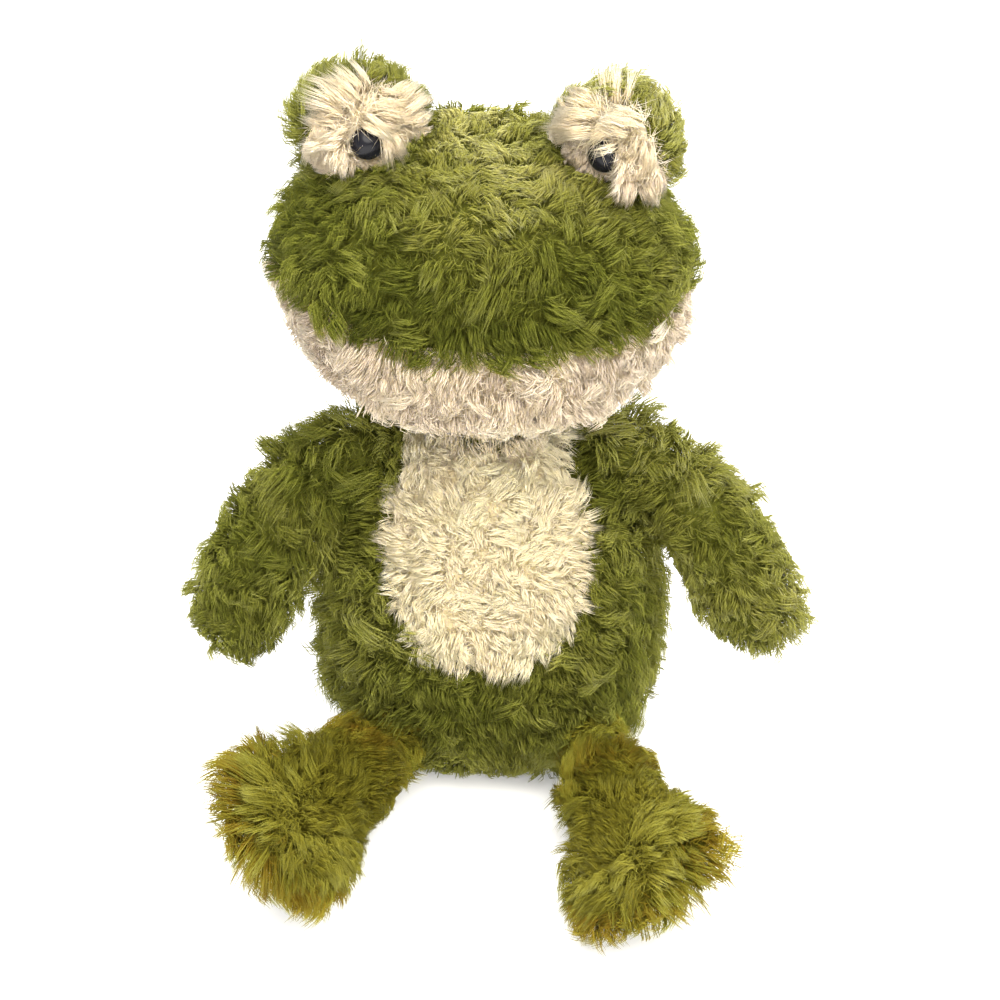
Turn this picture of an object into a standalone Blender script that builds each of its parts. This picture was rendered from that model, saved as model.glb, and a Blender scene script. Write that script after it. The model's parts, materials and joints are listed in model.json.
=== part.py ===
"""A long-pile plush frog that sits on its seat with its legs stretched forward.

Every fabric panel is a wall of pile and backing with the form's own swell and taper. The panels lie
round separate stuffing, meet at their seams, and the head and limbs turn on round roots sewn into
the body. Metres, +Z up; the frog looks along -Y and its own left side is at +X.
"""

import math

import bmesh
import bpy
from mathutils import Matrix, Vector

# Fabric and fits
PILE_WALL = 0.009
SEAM_GAP = 0.0003
STUFFING_GAP = 0.0005
OVERRUN = 0.05

# Body: a pear that is widest low down
BODY_HALF_WIDTH = 0.0710
BODY_FRONT_DEPTH = 0.0555
BODY_BACK_DEPTH = 0.052
BODY_WIDEST_HEIGHT = 0.062
BODY_RISE = 0.104
BODY_DROP = 0.076
SEAT_SOFTNESS = 0.006
SEAT_CUT = 0.0005
BODY_SIDE_SEAM_Y = 0.010

# Neck: the round top of the body that sits in the head
NECK_FORWARD = 0.002
NECK_HEIGHT = 0.152
NECK_RADIUS = 0.030
NECK_CENTRE = Vector((0.0, -NECK_FORWARD, NECK_HEIGHT))

# Tummy panel, as an outline seen from the front, from the neck's centre
TUMMY_TOP_RISE = 0.008
TUMMY_WIDE_DROP = 0.028
TUMMY_FOOT_DROP = 0.085
TUMMY_TOP_HALF_WIDTH = 0.030
TUMMY_WIDE_HALF_WIDTH = 0.044
TUMMY_BACK_FORWARD = 0.008

# Pellet bag in the seat
PELLET_BAG_HALF_WIDTH = 0.050
PELLET_BAG_HALF_DEPTH = 0.040
PELLET_BAG_HEIGHT = 0.032

# Head, from its own centre
HEAD_FORWARD = 0.010
HEAD_OVER_NECK = 0.0695
HEAD_ASIDE = 0.0072
HEAD_CENTRE = Vector((0.0, -HEAD_FORWARD, NECK_HEIGHT + HEAD_OVER_NECK))
HEAD_HALF_WIDTH = 0.0810
HEAD_FRONT_DEPTH = 0.066
HEAD_BACK_DEPTH = 0.062
HEAD_HALF_HEIGHT = 0.0615
HEAD_SHIFT = Vector((-HEAD_ASIDE, 0.0, 0.0))
HEAD_ROLL = math.radians(3.5)
MOUTH_DROP = 0.010
MOUTH_CORNER_RISE = 0.018
EAR_SEAM_SETBACK = 0.020

# Eye mounds, from the head's centre, and their patches
MOUND_OUT = 0.0455
MOUND_FORWARD = 0.010
MOUND_STAND = 0.0066
MOUND_HALF_WIDTH = 0.028
MOUND_HALF_DEPTH = 0.0235
MOUND_HALF_HEIGHT = 0.026
PATCH_SEAM_FORWARD = 0.012
RIGHT_GAZE_INWARD = math.radians(7.0)
LEFT_GAZE_INWARD = math.radians(21.0)

# Plastic eye: a dome with a ridged shank, locked by a washer
EYE_RADIUS = 0.006
EYE_FLANGE = 0.001
EYE_DOME = 0.0045
EYE_BASE_DEPTH = 0.0075
SHANK_RADIUS = 0.002
SHANK_RIDGE = 0.0003
SHANK_LENGTH = 0.009
SHANK_RIDGE_PITCH = 0.0015
SHANK_CLEARANCE = 0.0003
WASHER_RADIUS = 0.0065
WASHER_THICKNESS = 0.0014
WASHER_BOSS_RADIUS = 0.0038
WASHER_BOSS_HEIGHT = 0.0010
WASHER_SETBACK = 0.0024

# Arms: a bowed tube from the shoulder to a mitten hand with a thumb
SHOULDER_OUT = 0.053
SHOULDER_FORWARD = 0.006
SHOULDER_UNDER_NECK = 0.011
SHOULDER_RADIUS = 0.0205
SHOULDER = Vector((SHOULDER_OUT, -SHOULDER_FORWARD, NECK_HEIGHT - SHOULDER_UNDER_NECK))
ARM_LENGTH = 0.100
ARM_START_DOWN = math.radians(32.0)
ARM_BEND = math.radians(64.0)
ARM_FORWARD = math.radians(22.0)
LEFT_ARM_RAISE = math.radians(7.5)
RIGHT_ARM_RAISE = math.radians(4.5)
ARM_PINCH_RADIUS = 0.0195
UPPER_ARM_RADIUS = 0.0230
HAND_HALF_WIDTH = 0.0245
HAND_HALF_THICKNESS = 0.0195
HAND_END_LENGTH = 0.026
HAND_END_FULLNESS = 2.5
THUMB_NOTCH_ANGLE = math.radians(62.0)
THUMB_NOTCH_SHARE = 0.16
ARM_STATION_SHARES = (
    (0.00, "root"), (0.14, "pinch"), (0.34, "upper"), (0.56, "upper"), (0.76, "hand"))

# Legs: a round root, a pinched seam, a full shin and a webbed flipper
HIP_OUT = 0.042
HIP_FORWARD = 0.042
HIP_HEIGHT = 0.027
HIP_RADIUS = 0.019
HIP = Vector((HIP_OUT, -HIP_FORWARD, HIP_HEIGHT))
LEG_PINCH_RADIUS = 0.0165
LEG_RADIUS = 0.0245
LEG_LENGTH = 0.090
FLIPPER_HALF_WIDTH = 0.037
FLIPPER_HALF_THICKNESS = 0.0155
FLIPPER_END_LENGTH = 0.034
FLIPPER_END_FULLNESS = 2.9
TOE_NOTCH_ANGLE = math.radians(62.0)
TOE_NOTCH_SHARE = 0.13
LEG_STATION_SHARES = (
    (0.00, "root"), (0.11, "pinch"), (0.30, "shin"), (0.50, "ankle"), (0.68, "instep"),
    (0.84, "flipper"))
LEFT_LEG_SPLAY = math.radians(10.5)
RIGHT_LEG_SPLAY = math.radians(26.0)
LEFT_LEG_RISE = math.radians(2.0)
RIGHT_LEG_RISE = math.radians(11.0)
LEFT_LEG_ROLL = math.radians(35.0)
RIGHT_LEG_ROLL = math.radians(48.0)

# Notches between the lobes of a hand or a flipper
NOTCH_WIDTH = math.radians(11.0)

# How far the limbs turn about their sewn roots, with room for them at every step
ARM_LIFT = math.radians(60.0)
LEG_LIFT = math.radians(20.0)
LEG_DROP = math.radians(60.0)
TURN_STEP = math.radians(20.0)
TURN_GAP = 0.0006
ROOT_GAP = 0.00015

# Roundness of the stuffed forms: 2 is an ellipse, more is fuller
HEAD_FULLNESS = 2.15
HEAD_DROP_FULLNESS = 2.0
BODY_FULLNESS = 2.2
BODY_RISE_FULLNESS = 2.5
BODY_DROP_FULLNESS = 2.3
TUMMY_FULLNESS = 2.15
MOUND_FULLNESS = 2.1

# Facets
FORM_SIDES = 28
FORM_RINGS = 12
LINING_SIDES = 18
LINING_RINGS = 8
MOUND_SIDES = 16
MOUND_RINGS = 8
LIMB_SIDES = 12
LIMB_LINING_SIDES = 10
ROOT_STEPS = 4
END_STEPS = 8
BALL_SIDES = 16
NECK_SIDES = 24
EYE_SIDES = 12

GREEN = ((0.16, 0.19, 0.035, 1.0), 0.95)
LEG_GREEN = ((0.17, 0.17, 0.03, 1.0), 0.95)
CREAM = ((0.78, 0.70, 0.52, 1.0), 0.95)
FIBRE_WHITE = ((0.85, 0.85, 0.83, 1.0), 0.95)
PELLET_CLOTH = ((0.60, 0.60, 0.56, 1.0), 0.90)
BLACK_PLASTIC = ((0.008, 0.008, 0.009, 1.0), 0.12)
CLEAR_PLASTIC = ((0.70, 0.70, 0.68, 1.0), 0.40)


def clear_scene():
    for obj in list(bpy.data.objects):
        bpy.data.objects.remove(obj, do_unlink=True)


def material(name, look):
    colour, roughness = look
    made = bpy.data.materials.new(name)
    made.use_nodes = True
    shader = made.node_tree.nodes["Principled BSDF"]
    shader.inputs["Base Color"].default_value = colour
    shader.inputs["Roughness"].default_value = roughness
    shader.inputs["Metallic"].default_value = 0.0
    made.diffuse_color = colour
    return made


def object_from(name, vertices, faces):
    mesh = bpy.data.meshes.new(name)
    mesh.from_pydata([tuple(v) for v in vertices], [], faces)
    mesh.validate()
    body = bmesh.new()
    body.from_mesh(mesh)
    bmesh.ops.recalc_face_normals(body, faces=body.faces)
    body.to_mesh(mesh)
    body.free()
    obj = bpy.data.objects.new(name, mesh)
    bpy.context.scene.collection.objects.link(obj)
    return obj


def skin_rings(name, first_tip, rings, last_tip):
    """A closed skin over rings of points, drawn to a tip at both ends."""
    sides = len(rings[0])
    vertices = [first_tip] + [point for ring in rings for point in ring] + [last_tip]
    last = len(vertices) - 1
    faces = []
    for side in range(sides):
        following = (side + 1) % sides
        faces.append((0, 1 + following, 1 + side))
        for level in range(len(rings) - 1):
            low = 1 + level * sides
            high = low + sides
            faces.append((low + side, low + following, high + following))
            faces.append((low + side, high + following, high + side))
        top = 1 + (len(rings) - 1) * sides
        faces.append((top + side, top + following, last))
    return object_from(name, vertices, faces)


def fuller(value, fullness):
    """A sine or cosine pushed outward, so that an ellipse grows fuller."""
    return math.copysign(abs(value) ** (2.0 / fullness), value)


class Stuffed:
    """A stuffed form: half sizes from its widest level, drawn fuller than an ellipsoid."""

    def __init__(self, centre, half_width, front, back, rise, drop, fullness, rise_fullness=None,
                 drop_fullness=None, softness=None):
        self.centre = Vector(centre)
        self.half_width = half_width
        self.front = front
        self.back = back
        self.rise = rise
        self.drop = drop
        self.fullness = fullness
        self.rise_fullness = rise_fullness or fullness
        self.drop_fullness = drop_fullness or fullness
        self.softness = softness

    def settled(self, height, grow):
        """The height after the form has settled on the ground under its own weight."""
        if self.softness is None:
            return height
        floor = -grow
        lowest = 0.5 * (self.centre.z - self.drop
                        + math.hypot(self.centre.z - self.drop, self.softness))
        above = height - floor
        return floor + 0.5 * (above + math.hypot(above, self.softness)) - lowest - SEAT_CUT

    def point(self, around, level, grow):
        upper = level > 0.0
        vertical = self.rise_fullness if upper else self.drop_fullness
        height = (self.rise if upper else self.drop) + grow
        reach = fuller(math.cos(level), vertical)
        side = fuller(math.cos(around), self.fullness)
        forward = fuller(math.sin(around), self.fullness)
        depth = (self.front if forward < 0.0 else self.back) + grow
        z = self.centre.z + height * fuller(math.sin(level), vertical)
        return Vector((
            self.centre.x + (self.half_width + grow) * reach * side,
            self.centre.y + depth * reach * forward,
            self.settled(z, grow),
        ))

    def height_at(self, out, forward):
        """The height of the form's upper side over its centre, at a place seen from above."""
        reach = (abs(out) / self.half_width) ** self.fullness
        reach += (abs(forward) / self.front) ** self.fullness
        level = 1.0 - reach ** (self.rise_fullness / self.fullness)
        return self.rise * level ** (1.0 / self.rise_fullness)

    def solid(self, name, grow, sides, rings):
        levels = [math.pi * (step / rings - 0.5) for step in range(rings + 1)]
        loops = [
            [self.point(2.0 * math.pi * side / sides, level, grow) for side in range(sides)]
            for level in levels[1:-1]
        ]
        first = self.point(0.0, levels[0], grow)
        last = self.point(0.0, levels[-1], grow)
        return skin_rings(name, first, loops, last)


def ball(name, centre, radius, sides=BALL_SIDES):
    mesh = bpy.data.meshes.new(name)
    body = bmesh.new()
    bmesh.ops.create_uvsphere(body, u_segments=sides, v_segments=sides // 2, radius=radius)
    body.to_mesh(mesh)
    body.free()
    mesh.transform(Matrix.Translation(centre))
    obj = bpy.data.objects.new(name, mesh)
    bpy.context.scene.collection.objects.link(obj)
    return obj


def seat(name, centre, radius, sides=BALL_SIDES):
    """A round seat in which a ball of that radius turns: its flats clear the ball by a seam gap."""
    flats = math.cos(math.pi / sides) ** 2
    return ball(name, centre, (radius + SEAM_GAP) / flats, sides)


def block(name, low, high):
    vertices = [
        (x, y, z) for x in (low[0], high[0]) for y in (low[1], high[1]) for z in (low[2], high[2])
    ]
    faces = [(0, 1, 3, 2), (4, 6, 7, 5), (0, 4, 5, 1), (2, 3, 7, 6), (0, 2, 6, 4), (1, 5, 7, 3)]
    return object_from(name, vertices, faces)


def extruded(name, outline, front_y, back_y):
    """A straight prism along Y from an outline given as (x, z) points."""
    count = len(outline)
    vertices = [(x, front_y, z) for x, z in outline] + [(x, back_y, z) for x, z in outline]
    faces = [tuple(range(count)), tuple(range(2 * count - 1, count - 1, -1))]
    for corner in range(count):
        following = (corner + 1) % count
        faces.append((corner, following, count + following, count + corner))
    return object_from(name, vertices, faces)


def turned(name, profile, sides):
    """A solid turned about Z from (radius, height) points that start and end on the axis."""
    rings = [
        [
            Vector((
                radius * math.cos(2.0 * math.pi * side / sides),
                radius * math.sin(2.0 * math.pi * side / sides),
                height,
            ))
            for side in range(sides)
        ]
        for radius, height in profile[1:-1]
    ]
    first = Vector((0.0, 0.0, profile[0][1]))
    last = Vector((0.0, 0.0, profile[-1][1]))
    return skin_rings(name, first, rings, last)


def copy_of(obj, name):
    twin = bpy.data.objects.new(name, obj.data.copy())
    bpy.context.scene.collection.objects.link(twin)
    return twin


def discard(*objects):
    for obj in objects:
        bpy.data.objects.remove(obj, do_unlink=True)


def combine(target, tool, operation, keep_tool=False):
    """Cut, join or trim the target with a tool, and keep the result as its mesh."""
    modifier = target.modifiers.new(operation.title(), "BOOLEAN")
    modifier.operation = operation
    modifier.solver = "EXACT"
    modifier.object = tool
    bpy.context.view_layer.update()
    evaluated = target.evaluated_get(bpy.context.evaluated_depsgraph_get())
    result = bpy.data.meshes.new_from_object(evaluated)
    target.modifiers.clear()
    target.data = result
    if not keep_tool:
        discard(tool)
    return target


def cut(target, tool, keep_tool=False):
    return combine(target, tool, "DIFFERENCE", keep_tool)


def join(target, tool, keep_tool=False):
    return combine(target, tool, "UNION", keep_tool)


def trim(target, tool, keep_tool=False):
    return combine(target, tool, "INTERSECT", keep_tool)


def finish(obj, name, look, pivot=None):
    """Name and colour a finished piece, shade it smooth and hang it on its pivot."""
    obj.name = name
    obj.data.name = name
    obj.data.materials.clear()
    obj.data.materials.append(material(name, look))
    obj.data.shade_smooth()
    obj.data.set_sharp_from_angle(angle=math.radians(40.0))
    if pivot is not None:
        obj.data.transform(Matrix.Translation(-pivot.location))
        obj.parent = pivot
    return obj


def pivot_at(name, place):
    pivot = bpy.data.objects.new(name, None)
    pivot.empty_display_size = SHOULDER_RADIUS
    pivot.location = place
    bpy.context.scene.collection.objects.link(pivot)
    return pivot


# The stuffed forms that several pieces share

BODY_FORM = Stuffed(
    (0.0, 0.0, BODY_WIDEST_HEIGHT), BODY_HALF_WIDTH, BODY_FRONT_DEPTH, BODY_BACK_DEPTH, BODY_RISE,
    BODY_DROP, BODY_FULLNESS, BODY_RISE_FULLNESS, BODY_DROP_FULLNESS, SEAT_SOFTNESS)
HEAD_FORM = Stuffed(
    HEAD_CENTRE, HEAD_HALF_WIDTH, HEAD_FRONT_DEPTH, HEAD_BACK_DEPTH, HEAD_HALF_HEIGHT,
    HEAD_HALF_HEIGHT, HEAD_FULLNESS, drop_fullness=HEAD_DROP_FULLNESS)


def mirrored(place, side):
    return Vector((place.x * side, place.y, place.z))


def form_solid(form, name, grow):
    """A form grown or drawn in all over, with fewer facets where it lines a hollow."""
    if grow < 0.0:
        return form.solid(name, grow, LINING_SIDES, LINING_RINGS)
    return form.solid(name, grow, FORM_SIDES, FORM_RINGS)


def body_solid(name, grow):
    """The body with its round neck."""
    return join(form_solid(BODY_FORM, name, grow),
                ball("neck_ball", NECK_CENTRE, NECK_RADIUS + grow, NECK_SIDES))


def head_solid(name, grow):
    return form_solid(HEAD_FORM, name, grow)


# Body

def limb_sockets(target):
    """Cut the round seats of the two shoulders and the two hips."""
    for side in (-1.0, 1.0):
        cut(target, seat("shoulder_seat", mirrored(SHOULDER, side), SHOULDER_RADIUS))
        cut(target, seat("hip_seat", mirrored(HIP, side), HIP_RADIUS))
    return target


def tummy_outline(grow):
    """The tummy panel's outline: straight shoulders over a long half ellipse, as (x, z) points."""
    steps = 14
    wide = TUMMY_WIDE_HALF_WIDTH + grow
    widest = NECK_HEIGHT - TUMMY_WIDE_DROP
    drop = TUMMY_FOOT_DROP - TUMMY_WIDE_DROP + grow
    lower = [
        (
            wide * fuller(math.cos(math.pi * step / steps), TUMMY_FULLNESS),
            widest - drop * fuller(math.sin(math.pi * step / steps), TUMMY_FULLNESS),
        )
        for step in range(steps + 1)
    ]
    top = NECK_HEIGHT + TUMMY_TOP_RISE + grow
    narrow = TUMMY_TOP_HALF_WIDTH + grow
    return lower + [(-narrow, top), (narrow, top)]


def side_of_body(name, front):
    """Everything in front of the side seams, or everything behind them."""
    wide = BODY_HALF_WIDTH + OVERRUN
    low = -OVERRUN
    high = NECK_CENTRE.z + NECK_RADIUS + OVERRUN
    if front:
        return block(name, (-wide, -BODY_FRONT_DEPTH - OVERRUN, low),
                     (wide, BODY_SIDE_SEAM_Y - 0.5 * SEAM_GAP, high))
    return block(name, (-wide, BODY_SIDE_SEAM_Y + 0.5 * SEAM_GAP, low),
                 (wide, BODY_BACK_DEPTH + OVERRUN, high))


def ground(name):
    """Everything under the plane that the frog sits on."""
    reach = BODY_HALF_WIDTH + LEG_LENGTH + OVERRUN + OVERRUN
    return block(name, (-reach, -reach - OVERRUN, -OVERRUN), (reach, reach, 0.0))


def tummy_cutter(name, grow):
    front = -BODY_FRONT_DEPTH - OVERRUN
    return extruded(name, tummy_outline(grow), front, grow - TUMMY_BACK_FORWARD)


def pellet_dome(name, grow):
    """The pellet bag's round top, reaching below the seat."""
    dome = ball(name, Vector((0.0, 0.0, 0.0)), 1.0)
    sizes = (PELLET_BAG_HALF_WIDTH + grow, PELLET_BAG_HALF_DEPTH + grow, PELLET_BAG_HEIGHT + grow)
    dome.data.transform(Matrix.Diagonal((*sizes, 1.0)))
    return dome


def make_body():
    shell = body_solid("body_shell", 0.0)
    cut(shell, body_solid("body_hollow", -PILE_WALL))
    cut(shell, ground("ground"))
    limb_sockets(shell)

    back = trim(copy_of(shell, "back"), side_of_body("behind", front=False))
    finish(back, "torso_back", GREEN)

    tummy = trim(copy_of(shell, "tummy"), tummy_cutter("tummy_area", 0.0))
    finish(tummy, "tummy_panel", CREAM)

    front = trim(shell, side_of_body("before", front=True))
    cut(front, tummy_cutter("tummy_opening", SEAM_GAP))
    finish(front, "torso_front", GREEN)

    filling = body_solid("filling", -PILE_WALL - STUFFING_GAP)
    limb_sockets(filling)
    bag = trim(copy_of(filling, "bag"), pellet_dome("bag_dome", 0.0))
    finish(bag, "seat_pellet_bag", PELLET_CLOTH)
    cut(filling, pellet_dome("bag_room", SEAM_GAP))
    finish(filling, "torso_stuffing", FIBRE_WHITE)


# Head

def below_mouth(name, grow):
    """Everything under the mouth seam, which rises to its corners, back to the ear-to-ear seam."""
    reach = HEAD_HALF_WIDTH + OVERRUN
    steps = 12
    lip = []
    for step in range(steps + 1):
        x = reach * (2.0 * step / steps - 1.0)
        rise = MOUTH_CORNER_RISE * min(1.0, abs(x) / HEAD_HALF_WIDTH) ** 2
        lip.append((x, HEAD_CENTRE.z - MOUTH_DROP + rise + grow))
    floor = HEAD_CENTRE.z - HEAD_HALF_HEIGHT - OVERRUN
    outline = [(-reach, floor), (reach, floor)] + lip[::-1]
    front = HEAD_CENTRE.y - HEAD_FRONT_DEPTH - OVERRUN
    return extruded(name, outline, front, HEAD_CENTRE.y + EAR_SEAM_SETBACK + grow)


def side_of_head(name, front):
    wide = HEAD_HALF_WIDTH + OVERRUN
    seam = HEAD_CENTRE.y + EAR_SEAM_SETBACK
    low = HEAD_CENTRE.z - HEAD_HALF_HEIGHT - OVERRUN
    high = HEAD_CENTRE.z + HEAD_HALF_HEIGHT + OVERRUN
    if front:
        return block(name, (-wide, seam - HEAD_FRONT_DEPTH - EAR_SEAM_SETBACK - OVERRUN, low),
                     (wide, seam, high))
    return block(name, (-wide, seam + SEAM_GAP, low), (wide, seam + HEAD_BACK_DEPTH + OVERRUN, high))


def tilted_head():
    """The head's lean to its own left about the neck, on which it sits a little off centre."""
    here = Matrix.Translation(NECK_CENTRE)
    return (here @ Matrix.Rotation(HEAD_ROLL, 4, "Y") @ here.inverted()
            @ Matrix.Translation(HEAD_SHIFT))


def make_head(pivot):
    neck_seat = seat("neck_seat", NECK_CENTRE - HEAD_SHIFT, NECK_RADIUS, NECK_SIDES)
    shell = head_solid("head_shell", 0.0)
    cut(shell, head_solid("head_hollow", -PILE_WALL))
    cut(shell, neck_seat, keep_tool=True)

    jaw = trim(copy_of(shell, "jaw"), below_mouth("jaw_area", 0.0))
    back = trim(copy_of(shell, "back"), side_of_head("behind_ears", front=False))
    crown = cut(shell, below_mouth("jaw_opening", SEAM_GAP))
    crown = trim(crown, side_of_head("before_ears", front=True))
    filling = head_solid("head_filling", -PILE_WALL - STUFFING_GAP)
    cut(filling, neck_seat)

    for piece, name, look in (
            (jaw, "jaw_panel", CREAM),
            (back, "head_back", GREEN),
            (crown, "head_crown", GREEN),
            (filling, "head_stuffing", FIBRE_WHITE)):
        piece.data.transform(tilted_head())
        finish(piece, name, look, pivot)


# Eye mounds and eyes

def mound_centre(side):
    """A mound stands a little over the head's own surface at its place."""
    up = HEAD_FORM.height_at(MOUND_OUT, MOUND_FORWARD) + MOUND_STAND
    return HEAD_CENTRE + Vector((side * MOUND_OUT, -MOUND_FORWARD, up))


def mound_form(side):
    return Stuffed(mound_centre(side), MOUND_HALF_WIDTH, MOUND_HALF_DEPTH, MOUND_HALF_DEPTH,
                   MOUND_HALF_HEIGHT, MOUND_HALF_HEIGHT, MOUND_FULLNESS)


def gaze_frame(side):
    """From an upright frame with +Z along the eye's gaze to its place in the mound."""
    inward = LEFT_GAZE_INWARD if side > 0.0 else RIGHT_GAZE_INWARD
    gaze = Vector((-side * math.sin(inward), -math.cos(inward), 0.0))
    up = Vector((0.0, 0.0, 1.0))
    across = up.cross(gaze)
    turn = Matrix((across, up, gaze)).transposed().to_4x4()
    return Matrix.Translation(mound_centre(side)) @ turn


def before_patch_seam(name, side, grow):
    """Everything in front of the seam between an eye's patch and its hood."""
    wide = MOUND_HALF_WIDTH + OVERRUN
    slab = block(name, (-wide, -wide, PATCH_SEAM_FORWARD - grow), (wide, wide, wide))
    slab.data.transform(gaze_frame(side))
    return slab


def bore(name, side, radius, low, high):
    rod = turned(name, [(0.0, low), (radius, low), (radius, high), (0.0, high)], EYE_SIDES)
    rod.data.transform(gaze_frame(side))
    return rod


def eye_profile(base):
    """Shank tip, ridges, flange and dome, as (radius, height) points; base is the dome's underside."""
    tip = base - SHANK_LENGTH
    points = [(0.0, tip), (SHANK_RADIUS - SHANK_RIDGE, tip)]
    ridges = int((SHANK_LENGTH - SHANK_RIDGE_PITCH) / SHANK_RIDGE_PITCH)
    for ridge in range(ridges):
        foot = tip + SHANK_RIDGE_PITCH * (ridge + 0.5)
        points.append((SHANK_RADIUS, foot))
        points.append((SHANK_RADIUS - SHANK_RIDGE, foot + 0.5 * SHANK_RIDGE_PITCH))
    points.append((SHANK_RADIUS, base))
    points.append((EYE_RADIUS, base))
    steps = 5
    for step in range(steps):
        angle = 0.5 * math.pi * step / steps
        points.append((EYE_RADIUS * math.cos(angle), base + EYE_FLANGE + EYE_DOME * math.sin(angle)))
    points.append((0.0, base + EYE_FLANGE + EYE_DOME))
    return points


def washer_profile(top):
    """A flat washer with a low boss behind it, turned as a ring."""
    hole = SHANK_RADIUS + SHANK_CLEARANCE
    floor = top - WASHER_THICKNESS
    return [
        (hole, top), (WASHER_RADIUS, top), (WASHER_RADIUS, floor), (WASHER_BOSS_RADIUS, floor),
        (WASHER_BOSS_RADIUS, floor - WASHER_BOSS_HEIGHT), (hole, floor - WASHER_BOSS_HEIGHT),
    ]


def turned_ring(name, profile, sides):
    """A ring turned about Z from a closed (radius, height) outline."""
    vertices = []
    for side in range(sides):
        angle = 2.0 * math.pi * side / sides
        vertices += [(r * math.cos(angle), r * math.sin(angle), z) for r, z in profile]
    count = len(profile)
    faces = []
    for side in range(sides):
        here = side * count
        there = ((side + 1) % sides) * count
        for corner in range(count):
            following = (corner + 1) % count
            faces.append((here + corner, here + following, there + following, there + corner))
    return object_from(name, vertices, faces)


def make_eye_mound(side, label, pivot):
    form = mound_form(side)
    dome = MOUND_HALF_DEPTH
    base = dome - EYE_BASE_DEPTH
    lining = dome - PILE_WALL
    washer_top = lining - WASHER_SETBACK
    shank_room = SHANK_RADIUS + SHANK_CLEARANCE

    shell = form.solid("mound_shell", 0.0, MOUND_SIDES, MOUND_RINGS)
    cut(shell, form.solid("mound_hollow", -PILE_WALL, MOUND_SIDES, MOUND_RINGS))
    cut(shell, head_solid("head_seat", SEAM_GAP))

    patch = trim(copy_of(shell, "patch"), before_patch_seam("patch_area", side, 0.0))
    cut(patch, bore("eye_recess", side, EYE_RADIUS + SEAM_GAP, base - SEAM_GAP, dome + OVERRUN))
    cut(patch, bore("shank_hole", side, shank_room, 0.0, dome + OVERRUN))
    hood = cut(shell, before_patch_seam("patch_opening", side, SEAM_GAP))

    filling = form.solid("mound_filling", -PILE_WALL - STUFFING_GAP, MOUND_SIDES, MOUND_RINGS)
    cut(filling, head_solid("head_seat", SEAM_GAP))
    boss_foot = washer_top - WASHER_THICKNESS - WASHER_BOSS_HEIGHT - SEAM_GAP
    cut(filling, bore("washer_room", side, WASHER_RADIUS + SEAM_GAP, boss_foot, dome))
    shank_tip = base - SHANK_LENGTH
    cut(filling, bore("shank_room", side, shank_room, shank_tip - SEAM_GAP, dome))

    eye = turned("eye", eye_profile(base), EYE_SIDES)
    washer = turned_ring("washer", washer_profile(washer_top), EYE_SIDES)
    for piece in (eye, washer):
        piece.data.transform(gaze_frame(side))

    for piece, name, look in (
            (hood, "eye_hood_", GREEN),
            (patch, "eye_patch_", CREAM),
            (filling, "eye_stuffing_", FIBRE_WHITE),
            (eye, "eye_", BLACK_PLASTIC),
            (washer, "eye_washer_", CLEAR_PLASTIC)):
        piece.data.transform(tilted_head())
        finish(piece, name + label, look, pivot)


# Limbs

class Limb:
    """A stuffed limb: ellipses along a spine, from a round root to a padded, notched end.

    The end is a fan in the plane of the limb's width. Each notch is (angle, depth share), its angle
    turned from the limb's near edge, through straight ahead, to its far edge.
    """

    def __init__(self, root_radius, stations, end_length, end_fullness, notches, spine, frames):
        self.root_radius = root_radius
        self.stations = stations
        self.end_length = end_length
        self.end_fullness = end_fullness
        self.notches = notches
        self.spine = spine
        self.frames = frames

    def drawn_in(self, angle):
        share = 1.0
        for notch, depth_share in self.notches:
            share -= depth_share * math.exp(-((angle - notch) / NOTCH_WIDTH) ** 2)
        return share

    def solid(self, name, grow, sides):
        rings = []
        radius = self.root_radius + grow
        across, through, along = self.frames(0.0)
        root = self.spine(0.0)
        for step in range(1, ROOT_STEPS):
            angle = 0.5 * math.pi * step / ROOT_STEPS
            centre = root - along * (radius * math.cos(angle))
            size = radius * math.sin(angle)
            rings.append(ellipse(centre, across * size, through * size, sides))
        for place, half_width, half_thickness in self.stations:
            across, through, _ = self.frames(place)
            rings.append(ellipse(self.spine(place), across * (half_width + grow),
                                 through * (half_thickness + grow), sides))
        start = root - along * radius
        place, half_width, half_thickness = self.stations[-1]
        across, through, along = self.frames(place)
        for step in range(1, END_STEPS):
            angle = 0.5 * math.pi * step / END_STEPS
            ring = []
            for side in range(sides):
                around = 2.0 * math.pi * side / sides
                wide = fuller(math.cos(angle), self.end_fullness) * math.cos(around)
                ahead = fuller(math.sin(angle), self.end_fullness)
                share = self.drawn_in(math.atan2(ahead, wide))
                ring.append(
                    self.spine(place)
                    + across * ((half_width + grow) * wide * share)
                    + along * ((self.end_length + grow) * ahead * share)
                    + through * ((half_thickness + grow) * math.cos(angle) * math.sin(around)))
            rings.append(ring)
        tip = self.spine(place) + along * (self.end_length + grow)
        return skin_rings(name, start, rings, tip)


def ellipse(centre, across, through, sides):
    angles = [2.0 * math.pi * side / sides for side in range(sides)]
    return [centre + across * math.cos(angle) + through * math.sin(angle) for angle in angles]


def body_keep_out(name, root, radius, axis, drop, lift):
    """All that the body fills as the limb turns from its drop to its lift, but for its own root."""
    steps = math.ceil((lift + drop) / TURN_STEP)
    turns = [lift - (lift + drop) * step / steps for step in range(steps + 1)]
    here = Matrix.Translation(root)
    solid = None
    for turn in turns:
        turned_body = form_solid(BODY_FORM, name, TURN_GAP)
        turned_body.data.transform(here @ Matrix.Rotation(-turn, 4, axis) @ here.inverted())
        solid = turned_body if solid is None else join(solid, turned_body)
    return cut(solid, ball("own_root", root, radius + ROOT_GAP))


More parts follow.
